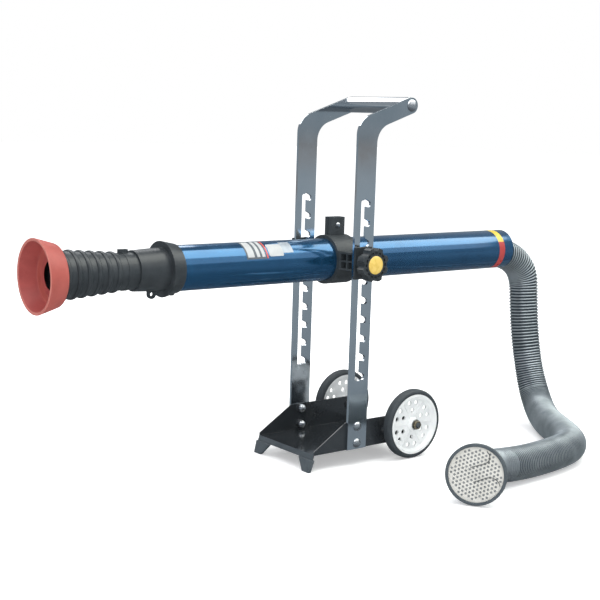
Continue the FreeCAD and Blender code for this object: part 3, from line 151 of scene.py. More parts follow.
def mottle_group():
    """Two tones and two roughnesses that drift over a surface."""
    inputs = [
        ("Dark tone", "NodeSocketColor", (0.1, 0.1, 0.1, 1)),
        ("Light tone", "NodeSocketColor", (0.2, 0.2, 0.2, 1)),
        ("Scale", "NodeSocketFloat", 20.0),
        ("Smoothest", "NodeSocketFloat", 0.3),
        ("Roughest", "NodeSocketFloat", 0.5),
    ]
    outputs = [("Colour", "NodeSocketColor"), ("Roughness", "NodeSocketFloat")]
    tree, given, out = group_tree("mottle", inputs, outputs)
    place = tree.nodes.new("ShaderNodeTexCoord")
    cloud = tree.nodes.new("ShaderNodeTexNoise")
    cloud.inputs["Detail"].default_value = CLOUD_DETAIL
    cloud.inputs["Roughness"].default_value = CLOUD_ROUGHNESS
    spread = tree.nodes.new("ShaderNodeMapRange")
    spread.inputs["From Min"].default_value, spread.inputs["From Max"].default_value = TONE_SPAN
    tones = tree.nodes.new("ShaderNodeMix")
    tones.data_type = "RGBA"
    gloss = tree.nodes.new("ShaderNodeMapRange")
    gloss.inputs["From Min"].default_value, gloss.inputs["From Max"].default_value = GLOSS_SPAN
    link = tree.links.new
    link(place.outputs["Object"], cloud.inputs["Vector"])
    link(given.outputs["Scale"], cloud.inputs["Scale"])
    link(cloud.outputs["Fac"], spread.inputs["Value"])
    link(spread.outputs["Result"], tones.inputs["Factor"])
    link(given.outputs["Dark tone"], tones.inputs["A"])
    link(given.outputs["Light tone"], tones.inputs["B"])
    link(cloud.outputs["Fac"], gloss.inputs["Value"])
    link(given.outputs["Smoothest"], gloss.inputs["To Min"])
    link(given.outputs["Roughest"], gloss.inputs["To Max"])
    link(tones.outputs["Result"], out.inputs["Colour"])
    link(gloss.outputs["Result"], out.inputs["Roughness"])
    return tree


def grain_group():
    """A fine moulded or sprayed grain as a height."""
    inputs = [("Scale", "NodeSocketFloat", GRAIN_SCALE)]
    tree, given, out = group_tree("grain", inputs, [("Height", "NodeSocketFloat")])
    place = tree.nodes.new("ShaderNodeTexCoord")
    fine = tree.nodes.new("ShaderNodeTexNoise")
    fine.inputs["Detail"].default_value = GRAIN_DETAIL
    tree.links.new(place.outputs["Object"], fine.inputs["Vector"])
    tree.links.new(given.outputs["Scale"], fine.inputs["Scale"])
    tree.links.new(fine.outputs["Fac"], out.inputs["Height"])
    return tree


MOTTLE = mottle_group()
GRAIN = grain_group()


def finish(name, dark, light, scale, smoothest, roughest, metallic=0.0, coat=0.0, grain=0.0,
           grain_scale=GRAIN_SCALE):
    """A material with drifting tones and gloss, and a grain of the given strength."""
    made = bpy.data.materials.new(name)
    made.use_nodes = True
    nodes, link = made.node_tree.nodes, made.node_tree.links.new
    shader = nodes["Principled BSDF"]
    shader.inputs["Metallic"].default_value = metallic
    shader.inputs["Coat Weight"].default_value = coat
    shader.inputs["Coat Roughness"].default_value = COAT_ROUGHNESS
    tones = nodes.new("ShaderNodeGroup")
    tones.node_tree = MOTTLE
    tones.inputs["Dark tone"].default_value = (*dark, 1)
    tones.inputs["Light tone"].default_value = (*light, 1)
    tones.inputs["Scale"].default_value = scale
    tones.inputs["Smoothest"].default_value = smoothest
    tones.inputs["Roughest"].default_value = roughest
    link(tones.outputs["Colour"], shader.inputs["Base Color"])
    link(tones.outputs["Roughness"], shader.inputs["Roughness"])
    if grain:
        fine = nodes.new("ShaderNodeGroup")
        fine.node_tree = GRAIN
        fine.inputs["Scale"].default_value = grain_scale
        bump = nodes.new("ShaderNodeBump")
        bump.inputs["Strength"].default_value = grain
        bump.inputs["Distance"].default_value = GRAIN_DEPTH
        link(fine.outputs["Height"], bump.inputs["Height"])
        link(bump.outputs["Normal"], shader.inputs["Normal"])
    return made


# Each finish has a dark and a light tone, the scale of their drift, and a least and greatest roughness.
blue_paint = finish("blue_paint", (0.019, 0.108, 0.240), (0.025, 0.133, 0.285), 14, 0.14, 0.2,
                    metallic=0.75, coat=0.8)
bar_steel = finish("bar_steel", (0.59, 0.64, 0.68), (0.71, 0.76, 0.80), 9, 0.06, 0.13, metallic=1.0)
chrome = finish("chrome", (0.80, 0.82, 0.84), (0.92, 0.93, 0.94), 30, 0.04, 0.10, metallic=1.0)
bolt_steel = finish("bolt_steel", (0.60, 0.62, 0.64), (0.74, 0.76, 0.78), 70, 0.22, 0.32, metallic=1.0)
turned_steel = finish("turned_steel", (0.40, 0.40, 0.40), (0.58, 0.58, 0.57), 60, 0.22, 0.38,
                      metallic=1.0)
brass = finish("brass", (0.26, 0.22, 0.15), (0.44, 0.38, 0.27), 90, 0.25, 0.4, metallic=1.0)
wire_steel = finish("wire_steel", (0.16, 0.17, 0.17), (0.26, 0.27, 0.27), 200, 0.3, 0.45, metallic=0.8)
black_gloss = finish("black_gloss", (0.018, 0.021, 0.024), (0.028, 0.032, 0.036), 10, 0.10, 0.2,
                     coat=0.5)
# Painted reflection: a paler grey for the tray's front faces, standing in for the studio light they
# mirror.
tray_front_painted_sheen = finish("tray_front_painted_sheen", (0.060, 0.072, 0.082), (0.082, 0.096, 0.108), 12, 0.3, 0.42, coat=0.2)
foot_rubber = finish("foot_rubber", (0.066, 0.080, 0.092), (0.092, 0.110, 0.124), 40, 0.45, 0.6,
                     grain=0.25)
black_rubber = finish("black_rubber", (0.024, 0.029, 0.033), (0.039, 0.046, 0.051), 26, 0.30, 0.42,
                      grain=0.15)
red_rubber = finish("red_rubber", (0.37, 0.076, 0.060), (0.46, 0.102, 0.082), 22, 0.40, 0.56, grain=0.15)
# Painted shade: a darker copy of the nozzle's red for its inside and the lip around its throat, where less
# light falls.
red_painted_shade = finish("red_painted_shade", (0.36, 0.062, 0.055), (0.44, 0.084, 0.073), 30, 0.5, 0.62, grain=0.2)
# Painted light: a paler copy of the nozzle's red for the front face of its mouth, which faces the light.
red_mouth_painted_light = finish("red_mouth_painted_light", (0.54, 0.165, 0.135), (0.62, 0.205, 0.168), 30, 0.36, 0.5, grain=0.15)
tyre_rubber = finish("tyre_rubber", (0.031, 0.038, 0.044), (0.049, 0.059, 0.067), 45, 0.5, 0.68,
                     grain=0.35)
white_plastic = finish("white_plastic", (0.78, 0.80, 0.80), (0.88, 0.89, 0.89), 25, 0.28, 0.42,
                       grain=0.08)
clamp_plastic = finish("clamp_plastic", (0.026, 0.032, 0.036), (0.044, 0.052, 0.057), 30, 0.35, 0.5,
                       grain=0.3)
knob_plastic = finish("knob_plastic", (0.022, 0.027, 0.030), (0.040, 0.047, 0.052), 40, 0.34, 0.5,
                      grain=0.25)
yellow_plastic = finish("yellow_plastic", (0.74, 0.50, 0.105), (0.84, 0.60, 0.155), 60, 0.22, 0.34,
                        coat=0.3)
# Painted shade: the hose's wall between its ribs is far darker than the ribs, for the shade in the
# valleys.
hose_wall = finish("hose_wall", (0.040, 0.052, 0.061), (0.068, 0.084, 0.096), 60, 0.42, 0.6,
                   metallic=0.4, grain=0.1, grain_scale=400)
hose_rib = finish("hose_rib", (0.285, 0.325, 0.350), (0.435, 0.480, 0.510), 22, 0.34, 0.44,
                  metallic=0.6, grain=0.08, grain_scale=500)
cuff_metal = finish("cuff_metal", (0.52, 0.57, 0.60), (0.70, 0.74, 0.77), 26, 0.22, 0.38,
                    metallic=0.85, grain=0.25)
# A paler finish for the hose over its last stretch.
pale_hose_end = finish("pale_hose_end", (0.37, 0.410, 0.440), (0.50, 0.545, 0.575), 26, 0.36, 0.46,
                    metallic=0.7)
rim_plastic = finish("rim_plastic", (0.062, 0.077, 0.088), (0.086, 0.103, 0.116), 30, 0.4, 0.55,
                     grain=0.2)
grille_cream = finish("grille_cream", (0.60, 0.585, 0.54), (0.74, 0.725, 0.68), 18, 0.32, 0.5,
                      metallic=0.1)
filter_felt = finish("filter_felt", (0.25, 0.265, 0.275), (0.34, 0.355, 0.365), 300, 0.85, 0.95,
                     grain=0.6)
cast_metal = finish("cast_metal", (0.42, 0.43, 0.45), (0.55, 0.56, 0.58), 40, 0.3, 0.45,
                    metallic=0.9, grain=0.3)
copper_winding = finish("copper_winding", (0.20, 0.10, 0.05), (0.34, 0.18, 0.09), 200, 0.4, 0.6,
                        metallic=0.6)
yellow_tape = finish("yellow_tape", (0.66, 0.48, 0.05), (0.74, 0.55, 0.08), 30, 0.25, 0.36)
red_tape = finish("red_tape", (0.37, 0.042, 0.040), (0.45, 0.058, 0.054), 30, 0.25, 0.36)
red_line = finish("red_line", (0.62, 0.085, 0.060), (0.70, 0.115, 0.085), 60, 0.25, 0.36)
plate_silver = finish("plate_silver", (0.34, 0.38, 0.43), (0.46, 0.50, 0.55), 60, 0.3, 0.42,
                      metallic=0.5)
plate_dark = finish("plate_dark", (0.070, 0.085, 0.100), (0.110, 0.128, 0.146), 60, 0.35, 0.45)
plate_white = finish("plate_white", (0.47, 0.48, 0.48), (0.55, 0.56, 0.56), 60, 0.4, 0.5)


# Shapes

# A rounded corner takes no more than this share of a side.
LARGEST_CUT = 0.45

# Faces that turn by more than this meet in a sharp edge, where a shape gives no other angle.
SHARP_DEGREES = 35

# A face whose normal leans this much towards the nozzle's end is a front face.
FRONT_LEAN = 0.5

# Points nearer than this are one, on a turned piece and on a copy of a node.
TURNED_MERGE = 1e-6
COPY_MERGE = 2e-6

# On a copy of a node: the turn below which faces are one flat, the turn that stays a sharp edge, and the
# turn from which an edge is rounded.
FLAT_DEGREES = 0.3
COPY_DEGREES = 32
EDGE_DEGREES = 40


def piece(name, mesh, *materials):
    """An object of its own for a mesh and its finishes."""
    made = bpy.data.objects.new(name, mesh)
    scene.collection.objects.link(made)
    for material in materials:
        mesh.materials.append(material)
    return made


def smooth(mesh, degrees=SHARP_DEGREES):
    """Smooth shading, broken where the faces turn by more than the angle."""
    mesh.polygons.foreach_set("use_smooth", [True] * len(mesh.polygons))
    mesh.set_sharp_from_angle(angle=math.radians(degrees))


def stand_for(made, *nodes):
    """The piece rides on the nodes' body and is shown in their place."""
    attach(made, BODY_OF[nodes[0]])
    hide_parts(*nodes)
    return made


def trim(made, node):
    """A thin piece on a node: it rides on that node's body."""
    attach(made, BODY_OF[node])
    return made


def tint(made, material, test):
    """A second finish on the faces whose middle and normal pass the test."""
    made.data.materials.append(material)
    slot = len(made.data.materials) - 1
    for face in made.data.polygons:
        if test(face.center, face.normal):
            face.material_index = slot


def rounded(points, radius, steps=4):
    """A closed outline whose corners are rounded, each by no more than its sides allow."""
    made = []
    count = len(points)
    radii = radius if isinstance(radius, list) else [radius] * count
    for i in range(count):
        before, corner, after = (Vector(points[j % count]) for j in (i - 1, i, i + 1))
        shorter_side = min((before - corner).length, (after - corner).length)
        cut = min(radii[i], shorter_side * LARGEST_CUT)
        start = corner + (before - corner).normalized() * cut
        end = corner + (after - corner).normalized() * cut
        for k in range(steps + 1):
            share = k / steps
            made.append(start * (1 - share) ** 2 + corner * 2 * share * (1 - share) + end * share ** 2)
    return made


def lathe(name, profile, axis, centre, material, segments=96, degrees=SHARP_DEGREES):
    """A closed profile of (along, radius) turned about an axis through the centre."""
    turned = bmesh.new()
    rows = []
    for k in range(segments):
        angle = 2 * math.pi * k / segments
        row = []
        for along, radius in profile:
            ring = (radius * math.cos(angle), radius * math.sin(angle))
            spot = (along, *ring) if axis == "X" else (ring[0], along, ring[1])
            row.append(turned.verts.new(centre + Vector(spot)))
        rows.append(row)
    count = len(profile)
    for k in range(segments):
        here, there = rows[k], rows[(k + 1) % segments]
        for i in range(count):
            j = (i + 1) % count
            turned.faces.new((here[i], here[j], there[j], there[i]))
    bmesh.ops.remove_doubles(turned, verts=turned.verts, dist=TURNED_MERGE)
    bmesh.ops.recalc_face_normals(turned, faces=turned.faces)
    mesh = bpy.data.meshes.new(name)
    turned.to_mesh(mesh)
    turned.free()
    smooth(mesh, degrees)
    return piece(name, mesh, material)


def softened(node, material, edge, steps=2):
    """A merged copy of a node with rounded edges, shown in its place."""
    copied = bmesh.new()
    copied.from_mesh(frame["nodes"][node].data)
    bmesh.ops.remove_doubles(copied, verts=copied.verts, dist=COPY_MERGE)
    bmesh.ops.dissolve_limit(copied, angle_limit=math.radians(FLAT_DEGREES), verts=copied.verts,
                             edges=copied.edges)
    mesh = bpy.data.meshes.new(node + "_skin")
    copied.to_mesh(mesh)
    copied.free()
    mesh.materials.clear()
    smooth(mesh, COPY_DEGREES)
    made = piece(node + "_skin", mesh, material)
    bevel = made.modifiers.new("rounded_edges", "BEVEL")
    bevel.width = edge
    bevel.segments = steps
    bevel.limit_method = "ANGLE"
    bevel.angle_limit = math.radians(EDGE_DEGREES)
    bevel.harden_normals = True
    return stand_for(made, node)


def paint(node, material):
    """A finish for a node that is shown as it is."""
    shown = frame["nodes"][node]
    shown.data.materials.clear()
    shown.data.materials.append(material)


# The hose


def route_spline(points):
    """A smooth curve drawn by the route's points."""
    curve = bpy.data.curves.new("hose_route", "CURVE")
    curve.dimensions = "3D"
    curve.resolution_u = ROUTE_STEPS
    spline = curve.splines.new("NURBS")
    spline.points.add(len(points) - 1)
    for spot, point in zip(spline.points, points):
        spot.co = (*point, 1)
    spline.order_u = 3
    spline.use_endpoint_u = True
    return bpy.data.objects.new("hose_route", curve)


def read_spline(curve):
    """The points along a curve, as Blender draws it."""
    scene.collection.objects.link(curve)
    drawn = bpy.data.meshes.new_from_object(curve.evaluated_get(bpy.context.evaluated_depsgraph_get()))
    points = [vertex.co.copy() for vertex in drawn.vertices]
    bpy.data.objects.remove(curve)
    bpy.data.meshes.remove(drawn)
    return points


def ribbed_hose_tree():
    """A nodes tree: a wall along a path and wire ribs at a pitch on it."""
    tree = bpy.data.node_groups.new("ribbed_hose", "GeometryNodeTree")
    add_socket = tree.interface.new_socket
    add_socket("Path", in_out="INPUT", socket_type="NodeSocketGeometry")
    for name in ("Wall radius", "Rib radius", "Wire radius", "Pitch"):
        add_socket(name, in_out="INPUT", socket_type="NodeSocketFloat")
    for name in ("Wall finish", "Rib finish"):
        add_socket(name, in_out="INPUT", socket_type="NodeSocketMaterial")
    add_socket("Hose", in_out="OUTPUT", socket_type="NodeSocketGeometry")
    node, link = tree.nodes.new, tree.links.new
    given, out = node("NodeGroupInput"), node("NodeGroupOutput")
    line = node("GeometryNodeMeshToCurve")
    link(given.outputs["Path"], line.inputs["Mesh"])
    steps = node("GeometryNodeResampleCurve")
    steps.mode = "LENGTH"
    link(line.outputs["Curve"], steps.inputs["Curve"])
    link(given.outputs["Pitch"], steps.inputs["Length"])
    section = node("GeometryNodeCurvePrimitiveCircle")
    section.inputs["Resolution"].default_value = HOSE_SIDES
    link(given.outputs["Wall radius"], section.inputs["Radius"])
    wall = node("GeometryNodeCurveToMesh")
    wall.inputs["Fill Caps"].default_value = True
    link(steps.outputs["Curve"], wall.inputs["Curve"])
    link(section.outputs["Curve"], wall.inputs["Profile Curve"])
    wall_finish = node("GeometryNodeSetMaterial")
    link(wall.outputs["Mesh"], wall_finish.inputs["Geometry"])
    link(given.outputs["Wall finish"], wall_finish.inputs["Material"])
    ring = node("GeometryNodeCurvePrimitiveCircle")
    ring.inputs["Resolution"].default_value = HOSE_SIDES
    link(given.outputs["Rib radius"], ring.inputs["Radius"])
    wire = node("GeometryNodeCurvePrimitiveCircle")
    wire.inputs["Resolution"].default_value = RIB_SIDES
    link(given.outputs["Wire radius"], wire.inputs["Radius"])
    rib = node("GeometryNodeCurveToMesh")
    link(ring.outputs["Curve"], rib.inputs["Curve"])
    link(wire.outputs["Curve"], rib.inputs["Profile Curve"])
    spots = node("GeometryNodeCurveToPoints")
    spots.mode = "EVALUATED"
    link(steps.outputs["Curve"], spots.inputs["Curve"])
    ribs = node("GeometryNodeInstanceOnPoints")
    link(spots.outputs["Points"], ribs.inputs["Points"])
    link(rib.outputs["Mesh"], ribs.inputs["Instance"])
    link(spots.outputs["Rotation"], ribs.inputs["Rotation"])
    real = node("GeometryNodeRealizeInstances")
    link(ribs.outputs["Instances"], real.inputs["Geometry"])
    rib_finish = node("GeometryNodeSetMaterial")
    link(real.outputs["Geometry"], rib_finish.inputs["Geometry"])
    link(given.outputs["Rib finish"], rib_finish.inputs["Material"])
    both = node("GeometryNodeJoinGeometry")
    link(wall_finish.outputs["Geometry"], both.inputs["Geometry"])
    link(rib_finish.outputs["Geometry"], both.inputs["Geometry"])
    link(both.outputs["Geometry"], out.inputs["Hose"])
    return tree


RIBBED_HOSE = ribbed_hose_tree()


def grown(base, tree, values):
    """The plain mesh that a nodes tree makes on a base object."""
    maker = base.modifiers.new("maker", "NODES")
    maker.node_group = tree
    for item in tree.interface.items_tree:
        if item.in_out == "INPUT" and item.name in values:
            maker[item.identifier] = values[item.name]
    bpy.context.view_layer.update()
    made = bpy.data.meshes.new_from_object(base.evaluated_get(bpy.context.evaluated_depsgraph_get()))
    bpy.data.objects.remove(base)
    return made


def path_object(points):
    """An object of bare edges along the points."""
    mesh = bpy.data.meshes.new("hose_path")
    mesh.from_pydata(points, [(i, i + 1) for i in range(len(points) - 1)], [])
    return piece("hose_path", mesh)


def hose_stretch(points, ribbing):
    """The mesh of one stretch of hose, with ribs of one pitch and wire."""
    pitch, wire = ribbing
    values = {
        "Wall radius": HOSE_DIAMETER / 2 - 2 * wire,
        "Rib radius": HOSE_DIAMETER / 2 - wire,
        "Wire radius": wire,
        "Pitch": pitch,
        # The wall takes painted shade for the valleys between the ribs.
        "Wall finish": hose_wall,
        "Rib finish": hose_rib,
    }
    return grown(path_object(points), RIBBED_HOSE, values)


def joined(name, meshes):
    """One mesh of several, with closed shells that face outwards."""
    whole = bmesh.new()
    for mesh in meshes:
        whole.from_mesh(mesh)
    bmesh.ops.recalc_face_normals(whole, faces=whole.faces)
    made = meshes[0].copy()
    made.name = name
    whole.to_mesh(made)
    whole.free()
    smooth(made, RIB_DEGREES)
    return made


def split_at(points, test):
    """The points up to the first one that passes the test, and those from it on."""
    cut = next(i for i, point in enumerate(points) if test(point))
    return points[:cut + 1], points[cut:]


def make_hose():
    """The elbow, and the free hose in stretches that are ribbed ever closer towards the floor."""
    line = read_spline(route_spline(HOSE_ROUTE))
    elbow_line, lower_line = split_at(line, lambda point: point.z < HOSE_SPLIT_Z)
    stretches = []
    rest = lower_line
    for height, ribbing in STRETCHES:
        part, rest = split_at(rest, lambda point: point.z < height)
        stretches.append(hose_stretch(part, ribbing))
    stretches.append(hose_stretch(rest, LYING))
    elbow = piece("hose_elbow_ribbed", joined("hose_elbow_ribbed", [hose_stretch(elbow_line, HANGING)]))
    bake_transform(elbow)
    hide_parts("hose_elbow")
    lower = piece("outlet_hose_ribbed", joined("outlet_hose_ribbed", stretches))
    tint(lower, pale_hose_end, lambda middle, normal: (middle - HOSE_END).length < PALE_END_LENGTH)
    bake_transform(lower)
    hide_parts("outlet_hose")
    return lower, lower_line


# The felt disc behind the grille, and how far behind its back it starts.
FELT_RADIUS = 0.0672
FELT_THICKNESS = 0.001
FELT_GAP = 0.0018

# The smooth band over the hose's last ribs, next to the cuff.
BAND_LENGTH = 0.100
BAND_RADIUS = 0.0475
BAND_ROUNDNESS = 14

# Two bent wires that lie on the grille's face: their radius, and points across and up from its middle.
GRILLE_WIRE = 0.0010
GRILLE_WIRES = {
    "upper_wire": [
        (-0.0145, 0.0170), (0.0, 0.0226), (0.0155, 0.0280), (0.0262, 0.0330),
        (0.0315, 0.0390), (0.0325, 0.0468), (0.0298, 0.0555), (0.0235, 0.0615),
    ],
    "lower_wire": [
        (-0.0052, -0.0195), (0.0078, -0.0142), (0.0206, -0.0078), (0.0335, -0.0032),
        (0.0440, -0.0036), (0.0540, -0.0090), (0.0605, -0.0165), (0.0625, -0.0235),
    ],
}
WIRE_STEPS = 12
WIRE_DEGREES = 60


def wire_mesh(name, route, radius, roundness=2):
    """A round bar along a smooth route, with closed ends."""
    curve = route_spline(route)
    curve.data.bevel_depth = radius
    curve.data.bevel_resolution = roundness
    curve.data.use_fill_caps = True
    curve.data.resolution_u = WIRE_STEPS
    scene.collection.objects.link(curve)
    mesh = bpy.data.meshes.new_from_object(curve.evaluated_get(bpy.context.evaluated_depsgraph_get()))
    bpy.data.objects.remove(curve)
    mesh.name = name
    smooth(mesh, WIRE_DEGREES)
    return mesh


def make_hose_end(end, heading, line):
    """The cuff and its band, the rim on the floor, and the perforated plate with its felt and wires."""
    cuff = softened("hose_cuff", cuff_metal, edge=0.0008)
    rim = softened("cap_rim", rim_plastic, edge=0.0015, steps=3)
    grille = frame["nodes"]["cap_grille"]
    paint("cap_grille", grille_cream)
    disc = [(0, 0), (FELT_THICKNESS, 0), (FELT_THICKNESS, FELT_RADIUS), (0, FELT_RADIUS)]
    felt = lathe("filter_felt", disc, "X", Vector(), filter_felt, segments=64)
    turn = Vector((1, 0, 0)).rotation_difference(heading).to_matrix().to_4x4()
    back = min((vertex.co - end).dot(heading) for vertex in grille.data.vertices)
    felt.data.transform(Matrix.Translation(end + heading * (back - FELT_GAP)) @ turn)
    trim(felt, "cap_grille")
    covered = [point for point in line if (point - end).length < BAND_LENGTH]
    band = piece("cuff_band", wire_mesh("cuff_band", covered, BAND_RADIUS, BAND_ROUNDNESS), cuff_metal)
    trim(band, "hose_cuff")
    up = (Vector((0, 0, 1)) - heading * heading.z).normalized()
    across = up.cross(heading)
    face = max((vertex.co - end).dot(heading) for vertex in grille.data.vertices)
    wires = []
    for name, marks in GRILLE_WIRES.items():
        route = [end + heading * (face + GRILLE_WIRE) + across * u + up * v for u, v in marks]
        wires.append(trim(piece(name, wire_mesh(name, route, GRILLE_WIRE), wire_steel), "cap_grille"))
    return [cuff, rim, grille, felt, band, *wires]


# The tube unit

# The rounding of the tube's cut ends.
TUBE_ROUNDING = 0.0008

# Tape near the tube's outlet: its two edges along the tube, and the arc of each colour in degrees.
TAPE_EDGES = (0.7385, 0.7625)
TAPE_LIFT = 0.0002
TAPES = [
    ("tape_yellow", -61, 61, yellow_tape),
    ("tape_red_left", 61, 158, red_tape),
    ("tape_red_right", -158, -61, red_tape),
]

# Bare plates on the tube: two edges along it, an arc in degrees, the finish, the lift off the tube and
# the radius of the corners.
PLATE_LIFT = 0.0004
PANEL_LIFT = 0.0006
PLATES = [
    ("label_plate", -0.2210, -0.1575, 4, 71, plate_dark, PLATE_LIFT, 0.002),
    ("label_panel_0", -0.2165, -0.1955, 10, 66, plate_white, PANEL_LIFT, 0.001),
    ("label_panel_1", -0.1875, -0.1775, 10, 66, plate_white, PANEL_LIFT, 0.001),
    ("label_panel_2", -0.1705, -0.1605, 10, 66, plate_white, PANEL_LIFT, 0.001),
    ("label_line", -0.1555, -0.1510, 8, 70, red_line, PANEL_LIFT, 0.0),
    ("label_white", -0.1465, -0.0985, 28, 66, plate_white, PANEL_LIFT, 0.005),
    ("label_grey", -0.0985, -0.0640, 20, 58, plate_silver, PLATE_LIFT, 0.002),
]

# A plate or tape reaches this far into the tube's skin, and bends in steps of so many degrees.
PATCH_SINK = 0.0002
PATCH_DEGREES = 3

# The sleeve: its radius at the collar and at the nozzle, and its wall. Its taper starts and stops this
# far from its rear and front end, and the plain ends keep these gaps from the taper.
SLEEVE_REAR = 0.047
SLEEVE_FRONT = 0.061
SLEEVE_WALL = 0.004
TAPER_START = 0.044
TAPER_STOP = 0.0045
REAR_GAP = 0.004
FRONT_GAP = 0.002

# The sleeve's beads: their number, height and half width, the steps from a bead's middle to its edge, a
# power that makes it fuller than an ellipse, and the turn that stays a sharp edge.
BEAD_COUNT = 6
BEAD_HEIGHT = 0.0038
BEAD_HALF = 0.0064
BEAD_STEPS = 5
BEAD_FULLNESS = 0.9
BEAD_DEGREES = 50

# The nozzle: radius of its mouth and rear, wall, the seat on the sleeve, the throat, its floor's depth,
# and the rounding of its profile's corners from the seat's rear edge on.
CONE_MOUTH = 0.093
CONE_REAR = 0.077
CONE_WALL = 0.0075
CONE_SEAT = 0.061
CONE_THROAT = 0.047
CONE_FLOOR = 0.0025
CONE_ROUNDING = [0.001, 0.009, 0.0025, 0.0025, 0.005, 0.001, 0.0005, 0.0005]

# The painted shade of the nozzle's inside starts this far before its floor, on faces that lean this much
# towards the axis, and the painted light on its mouth's front face is this deep.
INSIDE_START = 0.002
INSIDE_LEAN = 0.75
MOUTH_LIGHT_DEPTH = 0.004

# The lip around the nozzle's throat: its two radii, and its reach before and behind the floor's face.
LIP_INNER = 0.036
LIP_OUTER = 0.050
LIP_FRONT = 0.0004
LIP_BACK = 0.002
LIP_ROUNDING = 0.0008

# Nodes in and on the tube that are shown as they are, by finish.
PLAIN_NODES = [
    (knob_plastic, ("left_slot_bush", "right_slot_bush", "cable_gland", "impeller")),
    (black_rubber, ("outlet_ring",)),
    (cast_metal, ("motor_housing", "motor_cover", "front_spider", "rear_spider")),
    (copper_winding, ("stator",)),
    (turned_steel, ("left_stud", "rotor_core", "fan_shaft", "impeller_nut")),
    (turned_steel, ("front_bearing", "rear_bearing")),
]


def on_tube(x, angle, lift):
    """A point on the tube's skin: the angle is from the top towards the left side."""
    reach = TUBE_RADIUS + lift
    return Vector((x, -reach * math.sin(angle), AXIS_Z + reach * math.cos(angle)))


def tube_patch(name, x0, x1, start, end, material, lift, corner=0.0):
    """A thin plate wrapped on the tube between two angles in degrees, its corners rounded or square."""
    a0, a1 = math.radians(start), math.radians(end)
    outline = [Vector((x0, a0 * TUBE_RADIUS)), Vector((x1, a0 * TUBE_RADIUS)),
               Vector((x1, a1 * TUBE_RADIUS)), Vector((x0, a1 * TUBE_RADIUS))]
    if corner:
        outline = rounded(outline, corner, steps=6)
    flat = bmesh.new()
    flat.faces.new([flat.verts.new((*spot, 0)) for spot in outline])
    steps = max(2, int((end - start) / PATCH_DEGREES))
    for k in range(1, steps):
        level = (a0 + (a1 - a0) * k / steps) * TUBE_RADIUS
        bmesh.ops.bisect_plane(flat, geom=flat.verts[:] + flat.edges[:] + flat.faces[:],
                               plane_co=(0, level, 0), plane_no=(0, 1, 0))
    raised = bmesh.ops.extrude_face_region(flat, geom=flat.faces[:])
    top = {item for item in raised["geom"] if isinstance(item, bmesh.types.BMVert)}
    for vertex in flat.verts:
        height = lift if vertex in top else -PATCH_SINK
        vertex.co = on_tube(vertex.co.x, vertex.co.y / TUBE_RADIUS, height)
    bmesh.ops.recalc_face_normals(flat, faces=flat.faces)
    mesh = bpy.data.meshes.new(name)
    flat.to_mesh(mesh)
    flat.free()
    smooth(mesh)
    trim(piece(name, mesh, material), "fan_tube")


def make_tube():
    """The painted tube with its tape and its bare plates."""
    inner = TUBE_RADIUS - TUBE_WALL
    corners = [
        (TUBE_LOW.x, inner),
        (TUBE_HIGH.x, inner),
        (TUBE_HIGH.x, TUBE_RADIUS),
        (TUBE_LOW.x, TUBE_RADIUS),
    ]
    profile = rounded(corners, TUBE_ROUNDING, steps=3)
    stand_for(lathe("fan_tube_skin", profile, "X", TUBE_AXIS, blue_paint, segments=160), "fan_tube")
    for name, start, end, material in TAPES:
        tube_patch(name, *TAPE_EDGES, start, end, material, TAPE_LIFT)
    for plate in PLATES:
        tube_patch(*plate)


def make_sleeve():
    """The flared rubber sleeve, with rounded beads on a smooth taper."""
    low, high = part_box("inlet_sleeve")
    length = high.x - low.x
    begin, end = TAPER_START, length - TAPER_STOP
    rise = SLEEVE_FRONT - SLEEVE_REAR
    slope = rise / (end - begin)
    outer = [(0.0, SLEEVE_REAR), (begin - REAR_GAP, SLEEVE_REAR)]
    for i in range(BEAD_COUNT):
        share = (i + 0.5) / BEAD_COUNT
        middle = begin + share * (end - begin)
        base = SLEEVE_REAR + share * rise
        for k in range(-BEAD_STEPS, BEAD_STEPS + 1):
            turn = k / BEAD_STEPS * math.pi / 2
            along = middle + math.sin(turn) * BEAD_HALF
            crown = BEAD_HEIGHT * math.cos(turn) ** BEAD_FULLNESS if abs(k) < BEAD_STEPS else 0.0
            outer.append((along, base + slope * (along - middle) + crown))
    outer += [(end + FRONT_GAP, SLEEVE_FRONT), (length, SLEEVE_FRONT)]
    front_bore, rear_bore = SLEEVE_FRONT - SLEEVE_WALL, SLEEVE_REAR - SLEEVE_WALL
    inner = [(length, front_bore), (end, front_bore), (begin, rear_bore), (0.0, rear_bore)]
    profile = [(high.x - along, radius) for along, radius in outer + inner]
    sleeve = lathe("inlet_sleeve_skin", profile, "X", TUBE_AXIS, black_rubber, degrees=BEAD_DEGREES)
    stand_for(sleeve, "inlet_sleeve")


